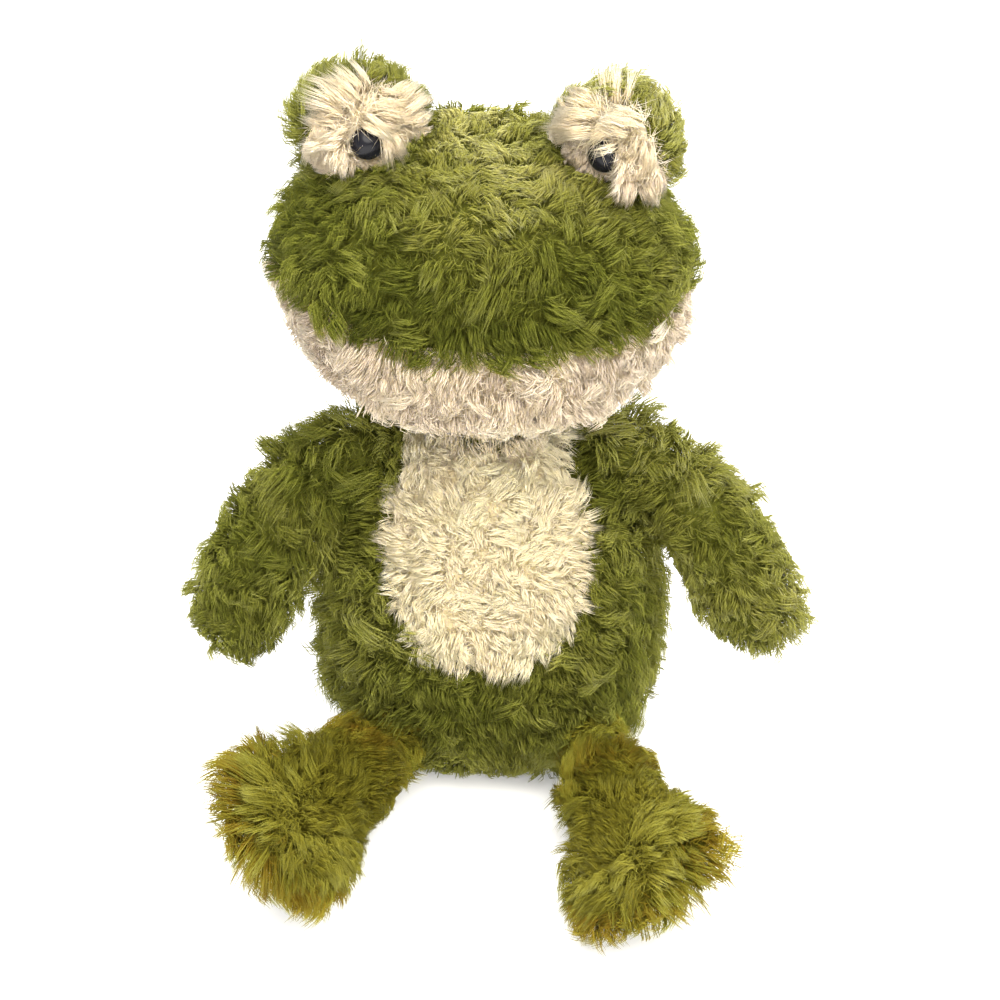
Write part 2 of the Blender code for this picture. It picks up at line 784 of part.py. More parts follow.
def split_by_plane(name, centre, normal, ahead):
    """Half of space on one side of a limb's side seams, as a large block."""
    reach = LEG_LENGTH + OVERRUN + OVERRUN
    start = 0.5 * SEAM_GAP
    slab = block(name, (-reach, -reach, start), (reach, reach, reach))
    facing = normal if ahead else -normal
    slab.data.transform(Matrix.Translation(centre) @ facing.to_track_quat("Z", "Y").to_matrix().to_4x4())
    return slab


def make_limb(build, centre, normal, keep_out, names, look, pivot):
    """Two panels and their stuffing: build(name, grow, sides) gives the limb at any growth."""
    shell = build("limb_shell", 0.0, LIMB_SIDES)
    cut(shell, build("limb_hollow", -PILE_WALL, LIMB_LINING_SIDES))
    filling = build("limb_filling", -PILE_WALL - STUFFING_GAP, LIMB_LINING_SIDES)
    for piece in (shell, filling):
        cut(piece, keep_out, keep_tool=True)
        cut(piece, ground("ground"))
    discard(keep_out)
    ahead = trim(copy_of(shell, "ahead"), split_by_plane("ahead_area", centre, normal, True))
    behind = trim(shell, split_by_plane("behind_area", centre, normal, False))
    finish(ahead, names[0], look, pivot)
    finish(behind, names[1], look, pivot)
    finish(filling, names[2], FIBRE_WHITE, pivot)


def arm_builder(side, raise_angle):
    """The arm's plane leans forward; its spine is an arc that bends down from the shoulder."""
    root = mirrored(SHOULDER, side)
    outward = Vector((side, 0.0, 0.0))
    down = Vector((0.0, -math.sin(ARM_FORWARD), -math.cos(ARM_FORWARD)))
    start = ARM_START_DOWN - raise_angle
    bend_radius = ARM_LENGTH / ARM_BEND
    normal = outward.cross(down) * side

    def spine(place):
        angle = start + ARM_BEND * place
        out = bend_radius * (math.sin(angle) - math.sin(start))
        fall = bend_radius * (math.cos(start) - math.cos(angle))
        return root + outward * out + down * fall

    def frames(place):
        angle = start + ARM_BEND * place
        along = outward * math.cos(angle) + down * math.sin(angle)
        across = outward * math.sin(angle) - down * math.cos(angle)
        return across, normal, along

    sizes = {
        "root": (SHOULDER_RADIUS, SHOULDER_RADIUS),
        "pinch": (ARM_PINCH_RADIUS, ARM_PINCH_RADIUS),
        "upper": (UPPER_ARM_RADIUS, UPPER_ARM_RADIUS),
        "hand": (HAND_HALF_WIDTH, HAND_HALF_THICKNESS),
    }
    stations = [(place, *sizes[part]) for place, part in ARM_STATION_SHARES]
    limb = Limb(SHOULDER_RADIUS, stations, HAND_END_LENGTH, HAND_END_FULLNESS,
                ((THUMB_NOTCH_ANGLE, THUMB_NOTCH_SHARE),), spine, frames)
    return limb.solid, root, normal


def leg_builder(side, splay, rise, roll):
    """The leg points forward and outward; its flipper is rolled about the leg."""
    root = mirrored(HIP, side)
    along = Vector((side * math.sin(splay) * math.cos(rise), -math.cos(splay) * math.cos(rise),
                    math.sin(rise)))
    inward = Vector((-side * math.cos(splay), -math.sin(splay), 0.0))
    upward = along.cross(inward) if side < 0.0 else inward.cross(along)
    across = inward * math.cos(roll) - upward * math.sin(roll)
    through = inward * math.sin(roll) + upward * math.cos(roll)

    def spine(place):
        return root + along * (LEG_LENGTH * place)

    def frames(_place):
        return across, through, along

    sizes = {
        "root": (HIP_RADIUS, HIP_RADIUS),
        "pinch": (LEG_PINCH_RADIUS, LEG_PINCH_RADIUS),
        "shin": (LEG_RADIUS, LEG_RADIUS),
        "ankle": (LEG_RADIUS, 0.5 * (LEG_RADIUS + FLIPPER_HALF_THICKNESS)),
        "instep": (0.5 * (LEG_RADIUS + FLIPPER_HALF_WIDTH), FLIPPER_HALF_THICKNESS),
        "flipper": (FLIPPER_HALF_WIDTH, FLIPPER_HALF_THICKNESS),
    }
    stations = [(place, *sizes[part]) for place, part in LEG_STATION_SHARES]
    notches = ((TOE_NOTCH_ANGLE, TOE_NOTCH_SHARE), (math.pi - TOE_NOTCH_ANGLE, TOE_NOTCH_SHARE))
    limb = Limb(HIP_RADIUS, stations, FLIPPER_END_LENGTH, FLIPPER_END_FULLNESS, notches, spine,
                frames)
    return limb.solid, root, through


def main():
    clear_scene()
    make_body()
    head_pivot = pivot_at("neck_pivot", NECK_CENTRE)
    make_head(head_pivot)
    for side, label in ((1.0, "left"), (-1.0, "right")):
        make_eye_mound(side, label, head_pivot)

    arm_raises = {"left": LEFT_ARM_RAISE, "right": RIGHT_ARM_RAISE}
    leg_poses = {
        "left": (LEFT_LEG_SPLAY, LEFT_LEG_RISE, LEFT_LEG_ROLL),
        "right": (RIGHT_LEG_SPLAY, RIGHT_LEG_RISE, RIGHT_LEG_ROLL),
    }
    for side, label in ((1.0, "left"), (-1.0, "right")):
        build, root, normal = arm_builder(side, arm_raises[label])
        pivot = pivot_at("shoulder_pivot_" + label, root)
        names = ("arm_front_" + label, "arm_back_" + label, "arm_stuffing_" + label)
        keep_out = body_keep_out("keep_out", root, SHOULDER_RADIUS, Vector((0.0, -side, 0.0)),
                                 0.0, ARM_LIFT)
        make_limb(build, root, normal, keep_out, names, GREEN, pivot)

        build, root, normal = leg_builder(side, *leg_poses[label])
        pivot = pivot_at("hip_pivot_" + label, root)
        names = ("leg_top_" + label, "leg_sole_" + label, "leg_stuffing_" + label)
        keep_out = body_keep_out("keep_out", root, HIP_RADIUS, Vector((-1.0, 0.0, 0.0)),
                                 LEG_DROP, LEG_LIFT)
        make_limb(build, root, normal, keep_out, names, LEG_GREEN, pivot)


main()
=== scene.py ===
# %% [markdown]
# # A long-pile plush frog, dressed for its picture
#
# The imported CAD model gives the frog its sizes, its panels and its joints. This lesson gives it its looks.
# The main work is the pile: the real frog is sewn from long-pile plush, and what the eye sees of it is
# not cloth but thousands of fine fibres, gathered in locks that lie in every direction. A bump pattern
# can't give that outline, so the pile is real geometry here, grown lock by lock on every panel.

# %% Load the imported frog
import json
import math

import bmesh
import bpy
import numpy as np
from mathutils import Matrix, Vector
from mathutils.kdtree import KDTree

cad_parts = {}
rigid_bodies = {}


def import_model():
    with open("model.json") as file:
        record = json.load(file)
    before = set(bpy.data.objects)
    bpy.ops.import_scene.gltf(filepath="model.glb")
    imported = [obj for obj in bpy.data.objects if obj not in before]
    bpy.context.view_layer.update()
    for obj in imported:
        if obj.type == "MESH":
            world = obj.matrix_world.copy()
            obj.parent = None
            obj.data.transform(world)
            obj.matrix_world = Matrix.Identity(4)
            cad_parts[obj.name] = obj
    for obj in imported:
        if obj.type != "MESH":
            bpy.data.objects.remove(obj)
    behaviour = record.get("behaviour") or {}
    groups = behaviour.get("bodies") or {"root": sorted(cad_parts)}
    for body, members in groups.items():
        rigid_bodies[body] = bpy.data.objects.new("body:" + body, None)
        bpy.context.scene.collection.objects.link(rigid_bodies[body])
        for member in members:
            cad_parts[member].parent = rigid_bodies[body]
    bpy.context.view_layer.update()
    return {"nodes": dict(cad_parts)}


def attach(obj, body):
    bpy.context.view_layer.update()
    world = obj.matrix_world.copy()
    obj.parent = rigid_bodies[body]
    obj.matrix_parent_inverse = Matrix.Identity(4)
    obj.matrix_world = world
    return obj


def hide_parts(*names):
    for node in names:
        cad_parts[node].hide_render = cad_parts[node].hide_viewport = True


for leftover in list(bpy.data.objects):
    bpy.data.objects.remove(leftover, do_unlink=True)
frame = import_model()

# %% [markdown]
# ## Camera
#
# The frog is seen from the front and about thirty degrees above, from nearly a metre away, so a long
# lens fits: a wide one would swell the feet. The picture is square.

# %% The camera
VIEW_TARGET = Vector((0.0035, 0.0, 0.118))
VIEW_DISTANCE = 0.90
VIEW_HEIGHT = math.radians(30.0)
VIEW_ANGLE = math.radians(25.0)

camera_data = bpy.data.cameras.new("camera")
camera_data.angle = VIEW_ANGLE
camera_data.clip_start = 0.01
camera = bpy.data.objects.new("camera", camera_data)
camera.location = VIEW_TARGET + VIEW_DISTANCE * Vector((0.0, -math.cos(VIEW_HEIGHT), math.sin(VIEW_HEIGHT)))
camera.rotation_euler = (math.pi / 2.0 - VIEW_HEIGHT, 0.0, 0.0)
bpy.context.scene.collection.objects.link(camera)
bpy.context.scene.camera = camera
print("camera at", tuple(round(value, 3) for value in camera.location))

# %% [markdown]
# ## Shader maths
#
# A finish is easier to read as a sum than as a row of nodes. The small class below wraps a node's
# output socket, so that tone * 0.5 + 0.2 adds the Math nodes by itself. Colours go through Mix nodes,
# because a Math node would turn them grey.

# %% Sockets that can be added and multiplied
class Value:
    """A number that varies over a surface: the output socket of a node."""

    def __init__(self, finish, socket):
        self.finish = finish
        self.socket = socket

    def _with(self, operation, other, turned=False):
        pair = (other, self) if turned else (self, other)
        return self.finish.node("ShaderNodeMath", {"operation": operation}, {0: pair[0], 1: pair[1]})

    def __add__(self, other):
        return self._with("ADD", other)

    def __radd__(self, other):
        return self._with("ADD", other, turned=True)

    def __sub__(self, other):
        return self._with("SUBTRACT", other)

    def __rsub__(self, other):
        return self._with("SUBTRACT", other, turned=True)

    def __mul__(self, other):
        return self._with("MULTIPLY", other)

    def __rmul__(self, other):
        return self._with("MULTIPLY", other, turned=True)

    def __pow__(self, other):
        return self._with("POWER", other)


class Finish:
    """A material in the making."""

    def __init__(self, name, **fixed):
        self.material = bpy.data.materials.new(name)
        self.material.use_nodes = True
        self.tree = self.material.node_tree
        self.shader = self.tree.nodes["Principled BSDF"]
        for socket, value in fixed.items():
            self.shader.inputs[socket.replace("_", " ")].default_value = value

    def plug(self, value, socket):
        if isinstance(value, Value):
            self.tree.links.new(value.socket, socket)
        else:
            socket.default_value = value

    def node(self, kind, settings=None, inputs=None, output=0):
        made = self.tree.nodes.new(kind)
        for key, value in (settings or {}).items():
            if key == "stops":
                fill_ramp(made.color_ramp, value)
            else:
                setattr(made, key, value)
        for key, value in (inputs or {}).items():
            self.plug(value, made.inputs[key])
        return Value(self, made.outputs[output])

    def set(self, **varying):
        for socket, value in varying.items():
            self.plug(value, self.shader.inputs[socket.replace("_", " ")])
        return self.material


def fill_ramp(ramp, stops):
    """Set a ramp's stops from (place, colour) pairs."""
    while len(ramp.elements) > 1:
        ramp.elements.remove(ramp.elements[-1])
    ramp.elements[0].position, ramp.elements[0].color = stops[0]
    for place, colour in stops[1:]:
        ramp.elements.new(place).color = colour


print("shader helper ready")

# %% [markdown]
# ## The pile's finish
#
# Plush is dyed in the piece, but its locks don't look equally dark: a lock that stands up catches the
# light, a lock that lies under another doesn't, and every fibre is painted darker towards its root, as
# painted shade of the pile around it. Each fibre therefore carries two numbers in a UV map: how pale its
# lock is, and how far along the fibre a point lies. The map is called OFBake, so that an export keeps it
# as it is.

# %% Colours of the pile
MAP_NAME = "OFBake"
GREEN_TONES = (
    (0.00, (0.034, 0.041, 0.007, 1.0)),
    (0.30, (0.078, 0.088, 0.012, 1.0)),
    (0.55, (0.126, 0.130, 0.020, 1.0)),
    (0.80, (0.215, 0.210, 0.038, 1.0)),
    (1.00, (0.390, 0.360, 0.095, 1.0)),
)
LEG_TONES = (
    (0.00, (0.095, 0.046, 0.005, 1.0)),
    (0.22, (0.140, 0.084, 0.008, 1.0)),
    (0.40, (0.090, 0.080, 0.008, 1.0)),
    (0.65, (0.165, 0.145, 0.016, 1.0)),
    (1.00, (0.320, 0.275, 0.050, 1.0)),
)
CREAM_TONES = (
    (0.00, (0.500, 0.385, 0.250, 1.0)),
    (0.30, (0.830, 0.685, 0.445, 1.0)),
    (0.65, (0.940, 0.810, 0.490, 1.0)),
    (1.00, (0.990, 0.905, 0.555, 1.0)),
)


def pile_finish(name, tones, root_shade, glow_through, glow_depth):
    """A finish that reads each fibre's tone and each point's place along it from the map."""
    finish = Finish(name, Roughness=0.65, Specular_IOR_Level=0.10, Specular_Tint=tones[-1][1],
                    Subsurface_Weight=glow_through, Subsurface_Radius=(1.0, 1.0, 0.5),
                    Subsurface_Scale=glow_depth)
    place = finish.node("ShaderNodeUVMap", {"uv_map": MAP_NAME})
    tone = finish.node("ShaderNodeSeparateXYZ", inputs={0: place}, output=0)
    along = Value(finish, tone.socket.node.outputs[1])
    colour = finish.node("ShaderNodeValToRGB", {"stops": tones}, {0: tone})
    # painted shade: each fibre is darker towards its root, where the pile around it shades it
    shade = root_shade + (1.0 - root_shade) * along ** 0.8
    shaded = finish.node("ShaderNodeVectorMath", {"operation": "SCALE"}, {0: colour, "Scale": shade})
    return finish.set(Base_Color=shaded)


PILE_FINISHES = {
    "green_pile": pile_finish("green_plush", GREEN_TONES, 0.72, 0.40, 0.002),
    "leg_pile": pile_finish("leg_plush", LEG_TONES, 0.74, 0.40, 0.002),
    "cream_pile": pile_finish("cream_plush", CREAM_TONES, 0.94, 0.60, 0.004),
}
print("three pile finishes")

# %% [markdown]
# ## Fillings and plastic
#
# What the pile hides is finished too, because the parts can be taken apart: white polyester fibre, the
# calico of the pellet bag, the black plastic of the eyes and the clear plastic of their washers. Moulded
# plastic is never quite even, so a fine noise moves its roughness a little.

# %% Fillings and plastic
def fibre_finish():
    finish = Finish("fibre_filling", Roughness=0.9, Sheen_Weight=0.2)
    place = finish.node("ShaderNodeTexCoord", output=3)
    wisps = finish.node("ShaderNodeTexNoise", {}, {"Vector": place, "Scale": 220.0, "Detail": 6.0})
    colour = finish.node("ShaderNodeValToRGB", {"stops": (
        (0.30, (0.70, 0.70, 0.68, 1.0)), (0.75, (0.90, 0.90, 0.88, 1.0)))}, {0: wisps})
    bump = finish.node("ShaderNodeBump", {}, {"Height": wisps, "Strength": 0.6, "Distance": 0.001})
    return finish.set(Base_Color=colour, Normal=bump)


def calico_finish():
    finish = Finish("pellet_calico", Roughness=0.85)
    place = finish.node("ShaderNodeTexCoord", output=3)
    warp = finish.node("ShaderNodeTexWave", {"bands_direction": "X"}, {"Vector": place, "Scale": 300.0})
    weft = finish.node("ShaderNodeTexWave", {"bands_direction": "Y"}, {"Vector": place, "Scale": 300.0})
    weave = Value(finish, warp.socket.node.outputs[1]) * Value(finish, weft.socket.node.outputs[1])
    colour = finish.node("ShaderNodeValToRGB", {"stops": (
        (0.0, (0.48, 0.47, 0.42, 1.0)), (1.0, (0.68, 0.66, 0.60, 1.0)))}, {0: weave})
    bump = finish.node("ShaderNodeBump", {}, {"Height": weave, "Strength": 0.4, "Distance": 0.0003})
    return finish.set(Base_Color=colour, Normal=bump)


def plastic_finish(name, colour, smooth, rough, scale, shine=0.5):
    finish = Finish(name, Base_Color=colour, Specular_IOR_Level=shine)
    place = finish.node("ShaderNodeTexCoord", output=3)
    wear = finish.node("ShaderNodeTexNoise", {}, {"Vector": place, "Scale": scale, "Detail": 4.0})
    bump = finish.node("ShaderNodeBump", {}, {"Height": wear, "Strength": 0.05, "Distance": 0.0001})
    return finish.set(Roughness=smooth + (rough - smooth) * wear, Normal=bump)


fibre_filling = fibre_finish()
pellet_calico = calico_finish()
eye_plastic = plastic_finish("eye_plastic", (0.006, 0.006, 0.009, 1.0), 0.14, 0.28, 900.0, 0.22)
washer_plastic = plastic_finish("washer_plastic", (0.70, 0.70, 0.68, 1.0), 0.30, 0.45, 600.0)
print("four more finishes")

# %% [markdown]
# ## The stuffed forms
#
# The frog's head, mounds and body are stuffed forms, a little fuller than an ellipsoid. Each starts as a
# ball, and every point of the ball is moved to its place on the form. The sizes are the CAD model's own.
# The CAD model's outside is where the pile ends, so the cloth that the pile grows on lies deeper.

# %% Sizes of the forms, in metres
NECK_CENTRE = Vector((0.0, -0.002, 0.152))
NECK_RADIUS = 0.030
HEAD_CENTRE = Vector((0.0, -0.010, 0.2215))
HEAD_LEAN = (Matrix.Translation(NECK_CENTRE) @ Matrix.Rotation(math.radians(3.5), 4, "Y")
             @ Matrix.Translation(-NECK_CENTRE) @ Matrix.Translation((-0.0072, 0.0, 0.0)))
SHOULDER = Vector((0.053, -0.006, 0.141))
SHOULDER_RADIUS = 0.0205
HIP = Vector((0.042, -0.042, 0.027))
HIP_RADIUS = 0.019
CLOTH_DEPTH = 0.0085
CLOTH_THICKNESS = 0.0012
FILLING_DEPTH = 0.0100


def facing_out(made):
    """Turn every face of a closed shape outward."""
    made.normal_update()
    bmesh.ops.recalc_face_normals(made, faces=made.faces)
    made.normal_update()
    return made


def fuller(value, fullness):
    """Sines and cosines pushed outward, so that an ellipse grows fuller."""
    return np.copysign(np.abs(value) ** (2.0 / fullness), value)


class Stuffed:
    """A stuffed form, given by its half sizes and how much fuller than an ellipse it is."""

    def __init__(self, centre, half_width, front, back, rise, drop, fullness, rise_fullness,
                 drop_fullness, softness=None, turn=None):
        self.centre = np.array(centre)
        self.sizes = (half_width, front, back, rise, drop)
        self.fullness = (fullness, rise_fullness, drop_fullness)
        self.softness = softness
        self.turn = turn or Matrix.Identity(4)

    def settled(self, height, grow):
        """The height after the form has settled on the ground under its own weight."""
        if self.softness is None:
            return height
        low = self.centre[2] - self.sizes[4]
        lowest = 0.5 * (low + math.hypot(low, self.softness))
        above = height + grow
        return 0.5 * (above + np.hypot(above, self.softness)) - grow - lowest - 0.0005

    def points(self, directions, grow):
        """Points of the form for unit directions of a ball."""
        half_width, front, back, rise, drop = self.sizes
        level = np.arcsin(np.clip(directions[:, 2], -1.0, 1.0))
        around = np.arctan2(directions[:, 1], directions[:, 0])
        vertical = np.where(level > 0.0, self.fullness[1], self.fullness[2])
        reach = fuller(np.cos(level), vertical)
        side = fuller(np.cos(around), self.fullness[0])
        forward = fuller(np.sin(around), self.fullness[0])
        depth = np.where(forward < 0.0, front, back) + grow
        height = np.where(level > 0.0, rise, drop) + grow
        z = self.centre[2] + height * fuller(np.sin(level), vertical)
        made = np.stack([self.centre[0] + (half_width + grow) * reach * side,
                         self.centre[1] + depth * reach * forward, self.settled(z, grow)], axis=1)
        return moved(made, self.turn)

    def depth_share(self, points, grow=0.0):
        """Under 1 inside the form, and over 1 outside it."""
        half_width, front, back, rise, drop = self.sizes
        local = moved(points, self.turn.inverted()) - self.centre
        depth = np.where(local[:, 1] < 0.0, front, back) + grow
        height = np.where(local[:, 2] > 0.0, rise, drop) + grow
        vertical = np.where(local[:, 2] > 0.0, self.fullness[1], self.fullness[2])
        flat = (np.abs(local[:, 0] / (half_width + grow)) ** self.fullness[0]
                + np.abs(local[:, 1] / depth) ** self.fullness[0])
        return flat ** (vertical / self.fullness[0]) + np.abs(local[:, 2] / height) ** vertical

    def ball(self, sides, rings, grow):
        made = bmesh.new()
        bmesh.ops.create_uvsphere(made, u_segments=sides, v_segments=rings, radius=1.0)
        directions = np.array([vertex.co[:] for vertex in made.verts])
        for vertex, place in zip(made.verts, self.points(directions, grow)):
            vertex.co = place
        return made


def moved(points, matrix):
    turned = np.array(matrix)
    return points @ turned[:3, :3].T + turned[:3, 3]


BODY = Stuffed((0.0, 0.0, 0.062), 0.071, 0.0555, 0.052, 0.104, 0.076, 2.2, 2.5, 2.3, softness=0.006)
HEAD = Stuffed(HEAD_CENTRE, 0.081, 0.066, 0.062, 0.0615, 0.0615, 2.15, 2.15, 2.0, turn=HEAD_LEAN)
MOUND_UP = 0.0615 * (1.0 - (0.0455 / 0.081) ** 2.15 - (0.010 / 0.066) ** 2.15) ** (1.0 / 2.15) + 0.0066
MOUNDS = {
    label: Stuffed(HEAD_CENTRE + Vector((side * 0.0455, -0.010, MOUND_UP)), 0.028, 0.0235, 0.0235,
                   0.026, 0.026, 2.1, 2.1, 2.1, turn=HEAD_LEAN)
    for side, label in ((1.0, "left"), (-1.0, "right"))
}
print("forms: body, head and two mounds")

# %% [markdown]
# ## The limbs
#
# An arm is a bowed tube with a mitten hand, and a leg runs straight out into a broad webbed flipper. Both
# start at a round root inside the body, which is where the real ones are sewn in. A limb is a stack of
# rings: a ball is made with as many rings, and each of its points goes to its place in the stack.

# %% Limbs as stacks of rings
ROOT_RINGS = 6
MIDDLE_RINGS = 22
END_RINGS = 16
NOTCH_WIDTH = math.radians(11.0)


class Limb:
    """A limb: ellipses along a spine, from a round root to a padded end with notches."""

    def __init__(self, root_radius, stations, end_length, end_fullness, notches, spine, frames):
        self.root_radius = root_radius
        self.stations = stations
        self.end_length = end_length
        self.end_fullness = end_fullness
        self.notches = notches
        self.spine = spine
        self.frames = frames

    def drawn_in(self, angle):
        share = 1.0
        for notch, depth in self.notches:
            share -= depth * math.exp(-((angle - notch) / NOTCH_WIDTH) ** 2)
        return share

    def rings(self, sides, grow):
        around = [2.0 * math.pi * side / sides for side in range(sides)]
        made = []
        radius = self.root_radius + grow
        across, through, along = self.frames(0.0)
        root = self.spine(0.0)
        for step in range(1, ROOT_RINGS):
            angle = 0.5 * math.pi * step / ROOT_RINGS
            centre = root - along * (radius * math.cos(angle))
            size = radius * math.sin(angle)
            made.append([centre + across * (size * math.cos(a)) + through * (size * math.sin(a))
                         for a in around])
        places = [station[0] for station in self.stations]
        for step in range(MIDDLE_RINGS + 1):
            place = places[-1] * step / MIDDLE_RINGS
            wide = smooth_between(place, places, [station[1] for station in self.stations]) + grow
            thick = smooth_between(place, places, [station[2] for station in self.stations]) + grow
            across, through, _ = self.frames(place)
            made.append([self.spine(place) + across * (wide * math.cos(a)) + through * (thick * math.sin(a))
                         for a in around])
        end, wide, thick = self.stations[-1]
        across, through, along = self.frames(end)
        for step in range(1, END_RINGS):
            angle = 0.5 * math.pi * step / END_RINGS
            ahead = float(fuller(math.sin(angle), self.end_fullness))
            ring = []
            for a in around:
                out = float(fuller(math.cos(angle), self.end_fullness)) * math.cos(a)
                share = self.drawn_in(math.atan2(ahead, out))
                ring.append(self.spine(end) + across * ((wide + grow) * out * share)
                            + along * ((self.end_length + grow) * ahead * share)
                            + through * ((thick + grow) * math.cos(angle) * math.sin(a)))
            made.append(ring)
        _, _, start = self.frames(0.0)
        return root - start * radius, made, self.spine(end) + along * (self.end_length + grow)

    def ball(self, sides, _rings, grow):
        first, rings, last = self.rings(sides, grow)
        made = bmesh.new()
        bmesh.ops.create_uvsphere(made, u_segments=sides, v_segments=len(rings) + 1, radius=1.0)
        for vertex in made.verts:
            level = round((math.asin(max(-1.0, min(1.0, vertex.co.z))) / math.pi + 0.5) * (len(rings) + 1))
            if level == 0:
                vertex.co = first
            elif level > len(rings):
                vertex.co = last
            else:
                side = round(math.atan2(vertex.co.y, vertex.co.x) * sides / (2.0 * math.pi)) % sides
                vertex.co = rings[level - 1][side]
        return made


def smooth_between(place, places, values):
    """A value eased from one station to the next."""
    for low in range(len(places) - 1):
        if place <= places[low + 1] or low == len(places) - 2:
            share = min(1.0, max(0.0, (place - places[low]) / (places[low + 1] - places[low])))
            eased = share * share * (3.0 - 2.0 * share)
            return values[low] + (values[low + 1] - values[low]) * (0.5 * share + 0.5 * eased)


def arm_form(side, raise_angle):
    root = Vector((side * SHOULDER.x, SHOULDER.y, SHOULDER.z))
    outward = Vector((side, 0.0, 0.0))
    forward = math.radians(22.0)
    down = Vector((0.0, -math.sin(forward), -math.cos(forward)))
    start = math.radians(32.0) - raise_angle
    bend = math.radians(64.0)
    bow = 0.100 / bend
    normal = outward.cross(down) * side

    def spine(place):
        angle = start + bend * place
        return (root + outward * (bow * (math.sin(angle) - math.sin(start)))
                + down * (bow * (math.cos(start) - math.cos(angle))))

    def frames(place):
        angle = start + bend * place
        return (outward * math.sin(angle) - down * math.cos(angle), normal,
                outward * math.cos(angle) + down * math.sin(angle))

    stations = [(0.00, 0.0205, 0.0205), (0.14, 0.0195, 0.0195), (0.34, 0.0230, 0.0230),
                (0.56, 0.0230, 0.0230), (0.76, 0.0245, 0.0195)]
    limb = Limb(SHOULDER_RADIUS, stations, 0.026, 2.5, ((math.radians(62.0), 0.16),), spine, frames)
    return limb, root, normal


def leg_form(side, splay, rise, roll):
    root = Vector((side * HIP.x, HIP.y, HIP.z))
    along = Vector((side * math.sin(splay) * math.cos(rise), -math.cos(splay) * math.cos(rise),
                    math.sin(rise)))
    inward = Vector((-side * math.cos(splay), -math.sin(splay), 0.0))
    upward = along.cross(inward) if side < 0.0 else inward.cross(along)
    across = inward * math.cos(roll) - upward * math.sin(roll)
    through = inward * math.sin(roll) + upward * math.cos(roll)
    stations = [(0.00, 0.019, 0.019), (0.11, 0.0165, 0.0165), (0.30, 0.0245, 0.0245),
                (0.50, 0.0245, 0.020), (0.68, 0.03075, 0.0155), (0.84, 0.037, 0.0155)]
    notch = math.radians(62.0)
    limb = Limb(HIP_RADIUS, stations, 0.034, 2.9, ((notch, 0.13), (math.pi - notch, 0.13)),
                lambda place: root + along * (0.090 * place), lambda place: (across, through, along))
    return limb, root, through


LIMBS = {
    "arm_left": arm_form(1.0, math.radians(7.5)),
    "arm_right": arm_form(-1.0, math.radians(4.5)),
    "leg_left": leg_form(1.0, math.radians(10.5), math.radians(2.0), math.radians(35.0)),
    "leg_right": leg_form(-1.0, math.radians(26.0), math.radians(11.0), math.radians(48.0)),
}
print("forms: two arms and two legs")

# %% [markdown]
# ## One fibre
#
# A fibre is a very long, thin ball with three sides, so it is closed and has a sharp root and tip. It is
# made once, with Blender's own ball, and every fibre of the pile is a bent copy of it.

# %% The fibre that all others copy
class Fibre:
    """A closed three-sided fibre with rings between its root and its tip."""

    def __init__(self, widths):
        self.widths = np.array(widths)
        steps = len(widths) - 1
        made = bmesh.new()
        bmesh.ops.create_uvsphere(made, u_segments=3, v_segments=steps, radius=1.0)
        facing_out(made)
        made.verts.index_update()
        heights = [max(-1.0, min(1.0, vertex.co.z)) for vertex in made.verts]
        self.levels = np.array([round((math.asin(z) / math.pi + 0.5) * steps) for z in heights])
        self.angles = np.array([math.atan2(vertex.co.y, vertex.co.x) for vertex in made.verts])
        self.faces = [[vertex.index for vertex in face.verts] for face in made.faces]
        made.free()


FIBRE = Fibre((0.0, 1.0, 0.0))
print("faces of the fibre:", len(FIBRE.faces))

# %% [markdown]
# ## Growing the pile
#
# Pile looks real when it is grown as locks. First the cloth's surface gets lock centres, a few millimetres
# apart. Each lock has its own heading, its own lift, length and curl, and the fibres round its centre lean
# towards the lock's tip. The headings come from how the panel was brushed, plus a slow random turn
# that gives the swirls and partings of a handled toy.

# %% Noise that is the same on every run
def slow_noise(points, wavelength, seed):
    """A smooth number for each point, mostly between -1 and 1."""
    chance = np.random.default_rng(seed)
    total = np.zeros(len(points))
    for _ in range(6):
        heading = chance.normal(size=3)
        heading *= chance.uniform(0.6, 1.5) * 2.0 * math.pi / wavelength / np.linalg.norm(heading)
        total += np.sin(points @ heading + chance.uniform(0.0, 2.0 * math.pi))
    return total / 2.4


def unit(vectors):
    return vectors / np.maximum(np.linalg.norm(vectors, axis=1, keepdims=True), 1e-9)


def laid_flat(vectors, normals):
    """Headings turned into the surface."""
    return unit(vectors - normals * np.sum(vectors * normals, axis=1, keepdims=True))


def turned_round(headings, normals, angles):
    return (headings * np.cos(angles)[:, None]
            + np.cross(normals, headings) * np.sin(angles)[:, None])


# %% Places for locks and fibres on a skin
def from_lowest(corners):
    """The same face, read from its lowest corner towards the lower of the two next to it."""
    start = corners.index(min(corners))
    turned = corners[start:] + corners[:start]
    return turned if turned[1] < turned[-1] else turned[:1] + turned[:0:-1]


